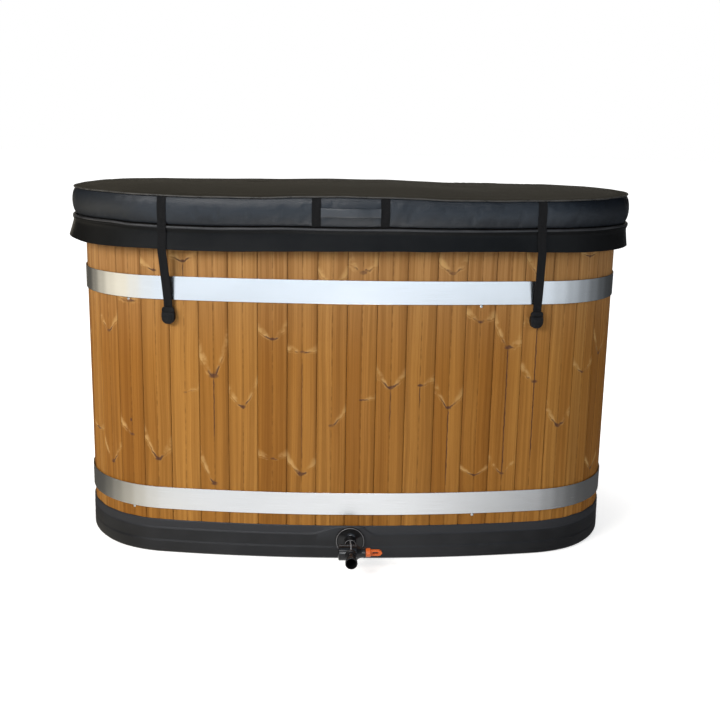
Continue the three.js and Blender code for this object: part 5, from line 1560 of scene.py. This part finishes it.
# how bright the room's sides are, by the turn from the front, close by and far off
def sideFadeGroup():
    group, given, out = newGroup("sideFade", [
        ("X", "NodeSocketFloat", 0.0),
        ("Y", "NodeSocketFloat", 0.0),
    ], [("Near", "NodeSocketFloat"), ("Far", "NodeSocketFloat"), ("Warm", "NodeSocketFloat"),
        ("Front", "NodeSocketFloat")])
    turn = calc(group, "ARCTAN2", given["X"], calc(group, "MULTIPLY", given["Y"], -1.0))
    back = remap(group, calc(group, "ABSOLUTE", turn), 2.45, 2.95)
    for label, (leftDark, leftFull, rightFull, rightDark, power) in studio["fades"].items():
        left = remap(group, turn, leftDark, leftFull, 0.05, 1.0)
        right = calc(group, "POWER", remap(group, turn, rightFull, rightDark, 1.0, 0.11), power)
        group.links.new(calc(group, "MAXIMUM", calc(group, "MINIMUM", left, right), back), out[label])
    group.links.new(remap(group, turn, -0.55, -1.3), out["Warm"])
    group.links.new(remap(group, calc(group, "ABSOLUTE", turn), 0.85, 0.15), out["Front"])
    return group


sideFade = sideFadeGroup()


def makeFloor():
    bm = bmesh.new()
    bmesh.ops.create_grid(bm, x_segments=1, y_segments=1, size=studio["floorSize"])
    bmesh.ops.translate(bm, verts=bm.verts, vec=(0, 0, -0.0005))
    material, tree, shader = newMaterial("paleFloor", Roughness=0.9, Specular_IOR_Level=0.1)
    camera, mirrored = seenRays(tree)
    tones = [(studio[label],) * 3 for label in ("floorTone", "mirrorTone")]
    tree.links.new(mixColour(tree, mirrored, *tones), shader.inputs["Base Color"])
    # what the camera sees of the floor is lifted to white and keeps the shadow by the tub
    x, y, unused = splitXyz(tree, objectPlace(tree))
    away = calc(tree, "SQRT", calc(tree, "ADD", calc(tree, "MULTIPLY", x, x), calc(tree, "MULTIPLY", y, y)))
    seen = calc(tree, "MULTIPLY", camera, remap(tree, away, 0.8, 1.7, studio["nearGlow"], 1.0))
    # mirrors see it fade to the sides of the room
    fade = placeGroup(tree, sideFade, X=x, Y=y)
    near, half, far = studio["mirrorGlow"]
    share = calc(tree, "MULTIPLY_ADD", calc(tree, "SUBTRACT", fade["Far"], fade["Near"]),
                 remap(tree, away, 1.3, 3.6), fade["Near"])
    level = calc(tree, "MAXIMUM", remap(tree, away, 1.25, 1.8, near, half), remap(tree, away, 2.6, 4.4, 0.0, far))
    caught = calc(tree, "MULTIPLY", mirrored, calc(tree, "MULTIPLY", share, level))
    glow = tree.nodes.new("ShaderNodeEmission")
    tree.links.new(calc(tree, "MAXIMUM", seen, caught), glow.inputs["Strength"])
    tint = mixColour(tree, remap(tree, away, 0.9, 2.5), (1.0, 1.0, 1.0), studio["farTint"])
    tint = mixColour(tree, fade["Warm"], tint, studio["warmTint"])
    tree.links.new(mixColour(tree, mirrored, (1.0, 1.0, 1.0), tint), glow.inputs["Color"])
    both = tree.nodes.new("ShaderNodeAddShader")
    tree.links.new(shader.outputs[0], both.inputs[0])
    tree.links.new(glow.outputs[0], both.inputs[1])
    tree.links.new(both.outputs[0], tree.nodes["Material Output"].inputs["Surface"])
    stageMesh("studioFloor", bm, material)


def makeCard(name, bm, tone):
    material = bpy.data.materials.new(name)
    material.use_nodes = True
    tree = material.node_tree
    glow = tree.nodes.new("ShaderNodeEmission")
    glow.inputs["Strength"].default_value = tone
    tree.links.new(glow.outputs[0], tree.nodes["Material Output"].inputs["Surface"])
    card = stageMesh(name, bm, material)
    card.visible_camera = False
    card.visible_diffuse = False
    card.visible_shadow = False
    card.visible_transmission = False


# upright bright cards that only reflections see: a small one before the drain, large ones high in front and at the left
def makeCards():
    for name in ("lowCard", "highCard", "sideCard"):
        centre, half, glow = studio[name]
        bm = bmesh.new()
        bmesh.ops.create_grid(bm, x_segments=1, y_segments=1, size=1.0, matrix=Matrix.Translation(centre)
                              @ Matrix.Rotation(math.pi / 2, 4, "X") @ Matrix.Diagonal((half[0], half[1], 1, 1)))
        makeCard(name, bm, glow)


def makeWorld():
    world = bpy.data.worlds.new("studioWorld")
    world.use_nodes = True
    tree = world.node_tree
    ground = tree.nodes["Background"]
    camera, mirrored = seenRays(tree)
    # mirrors see white round the horizon, where the backdrop is, and a dim ceiling above it
    across, depth, rise = splitXyz(tree, tree.nodes.new("ShaderNodeTexCoord").outputs["Generated"])
    fade = placeGroup(tree, sideFade, X=across, Y=depth)
    backdrop = calc(tree, "MULTIPLY", mirrored, remap(tree, rise, 0.0, 0.11, 1.0, studio["ceiling"]))
    lift = calc(tree, "MULTIPLY_ADD", fade["Front"], studio["frontLift"], 1.0)
    backdrop = calc(tree, "MULTIPLY", backdrop, calc(tree, "MULTIPLY", fade["Far"], lift))
    light = calc(tree, "MULTIPLY", calc(tree, "SUBTRACT", 1.0, mirrored), studio["worldLight"])
    level = calc(tree, "MAXIMUM", camera, calc(tree, "ADD", backdrop, light))
    tree.links.new(level, ground.inputs["Strength"])
    tint = mixColour(tree, remap(tree, depth, -0.3, 0.3), studio["frontTint"], studio["backTint"])
    tint = mixColour(tree, fade["Warm"], tint, studio["warmTint"])
    tree.links.new(mixColour(tree, mirrored, (1.0, 1.0, 1.0), tint), ground.inputs["Color"])
    scene.world = world


def addLamp(name, place, aim, size, power, tint):
    lamp = bpy.data.lights.new(name, "AREA")
    lamp.shape = "RECTANGLE"
    lamp.size, lamp.size_y = size
    lamp.energy = power
    lamp.color = tint
    holder = bpy.data.objects.new(name, lamp)
    holder.location = place
    holder.rotation_euler = (Vector(aim) - Vector(place)).to_track_quat("-Z", "Y").to_euler()
    holder.visible_glossy = False
    scene.collection.objects.link(holder)


makeFloor()
makeCards()
makeWorld()
addLamp("keyLamp", (-3.0, -3.1, 2.5), (-0.15, -0.2, 0.55), (2.4, 1.8), studio["keyPower"], (1.0, 0.955, 0.89))
addLamp("fillLamp", (3.5, -2.6, 1.9), (0.3, -0.2, 0.6), (2.0, 1.6), studio["fillPower"], (0.90, 0.95, 1.0))
addLamp("topLamp", (0.0, 0.2, 4.2), (0, 0, 0.8), (3.0, 2.0), studio["topPower"], (1.0, 0.98, 0.95))

viewPoint = {"focal": 1040.2, "x": -0.0873, "distance": 3.2710, "height": 1.2622,
             "pitch": 0.22273, "roll": 0.01935, "yaw": 0.036866}


def makeCamera():
    lens = bpy.data.cameras.new("photoCamera")
    lens.sensor_width = 36
    lens.lens = viewPoint["focal"] * 36 / 720
    lens.clip_end = 200
    pitch, roll, yaw = viewPoint["pitch"], viewPoint["roll"], viewPoint["yaw"]
    ahead = Vector((math.sin(yaw) * math.cos(pitch), math.cos(yaw) * math.cos(pitch), -math.sin(pitch)))
    right = Vector((math.cos(yaw), -math.sin(yaw), 0))
    up = right.cross(ahead)
    tiltedRight = right * math.cos(roll) + up * math.sin(roll)
    tiltedUp = up * math.cos(roll) - right * math.sin(roll)
    turn = Matrix((tiltedRight, tiltedUp, -ahead)).transposed().to_4x4()
    camera = bpy.data.objects.new("photoCamera", lens)
    camera.matrix_world = Matrix.Translation((viewPoint["x"], -viewPoint["distance"], viewPoint["height"])) @ turn
    scene.collection.objects.link(camera)
    scene.camera = camera


makeCamera()
print("studio set up")
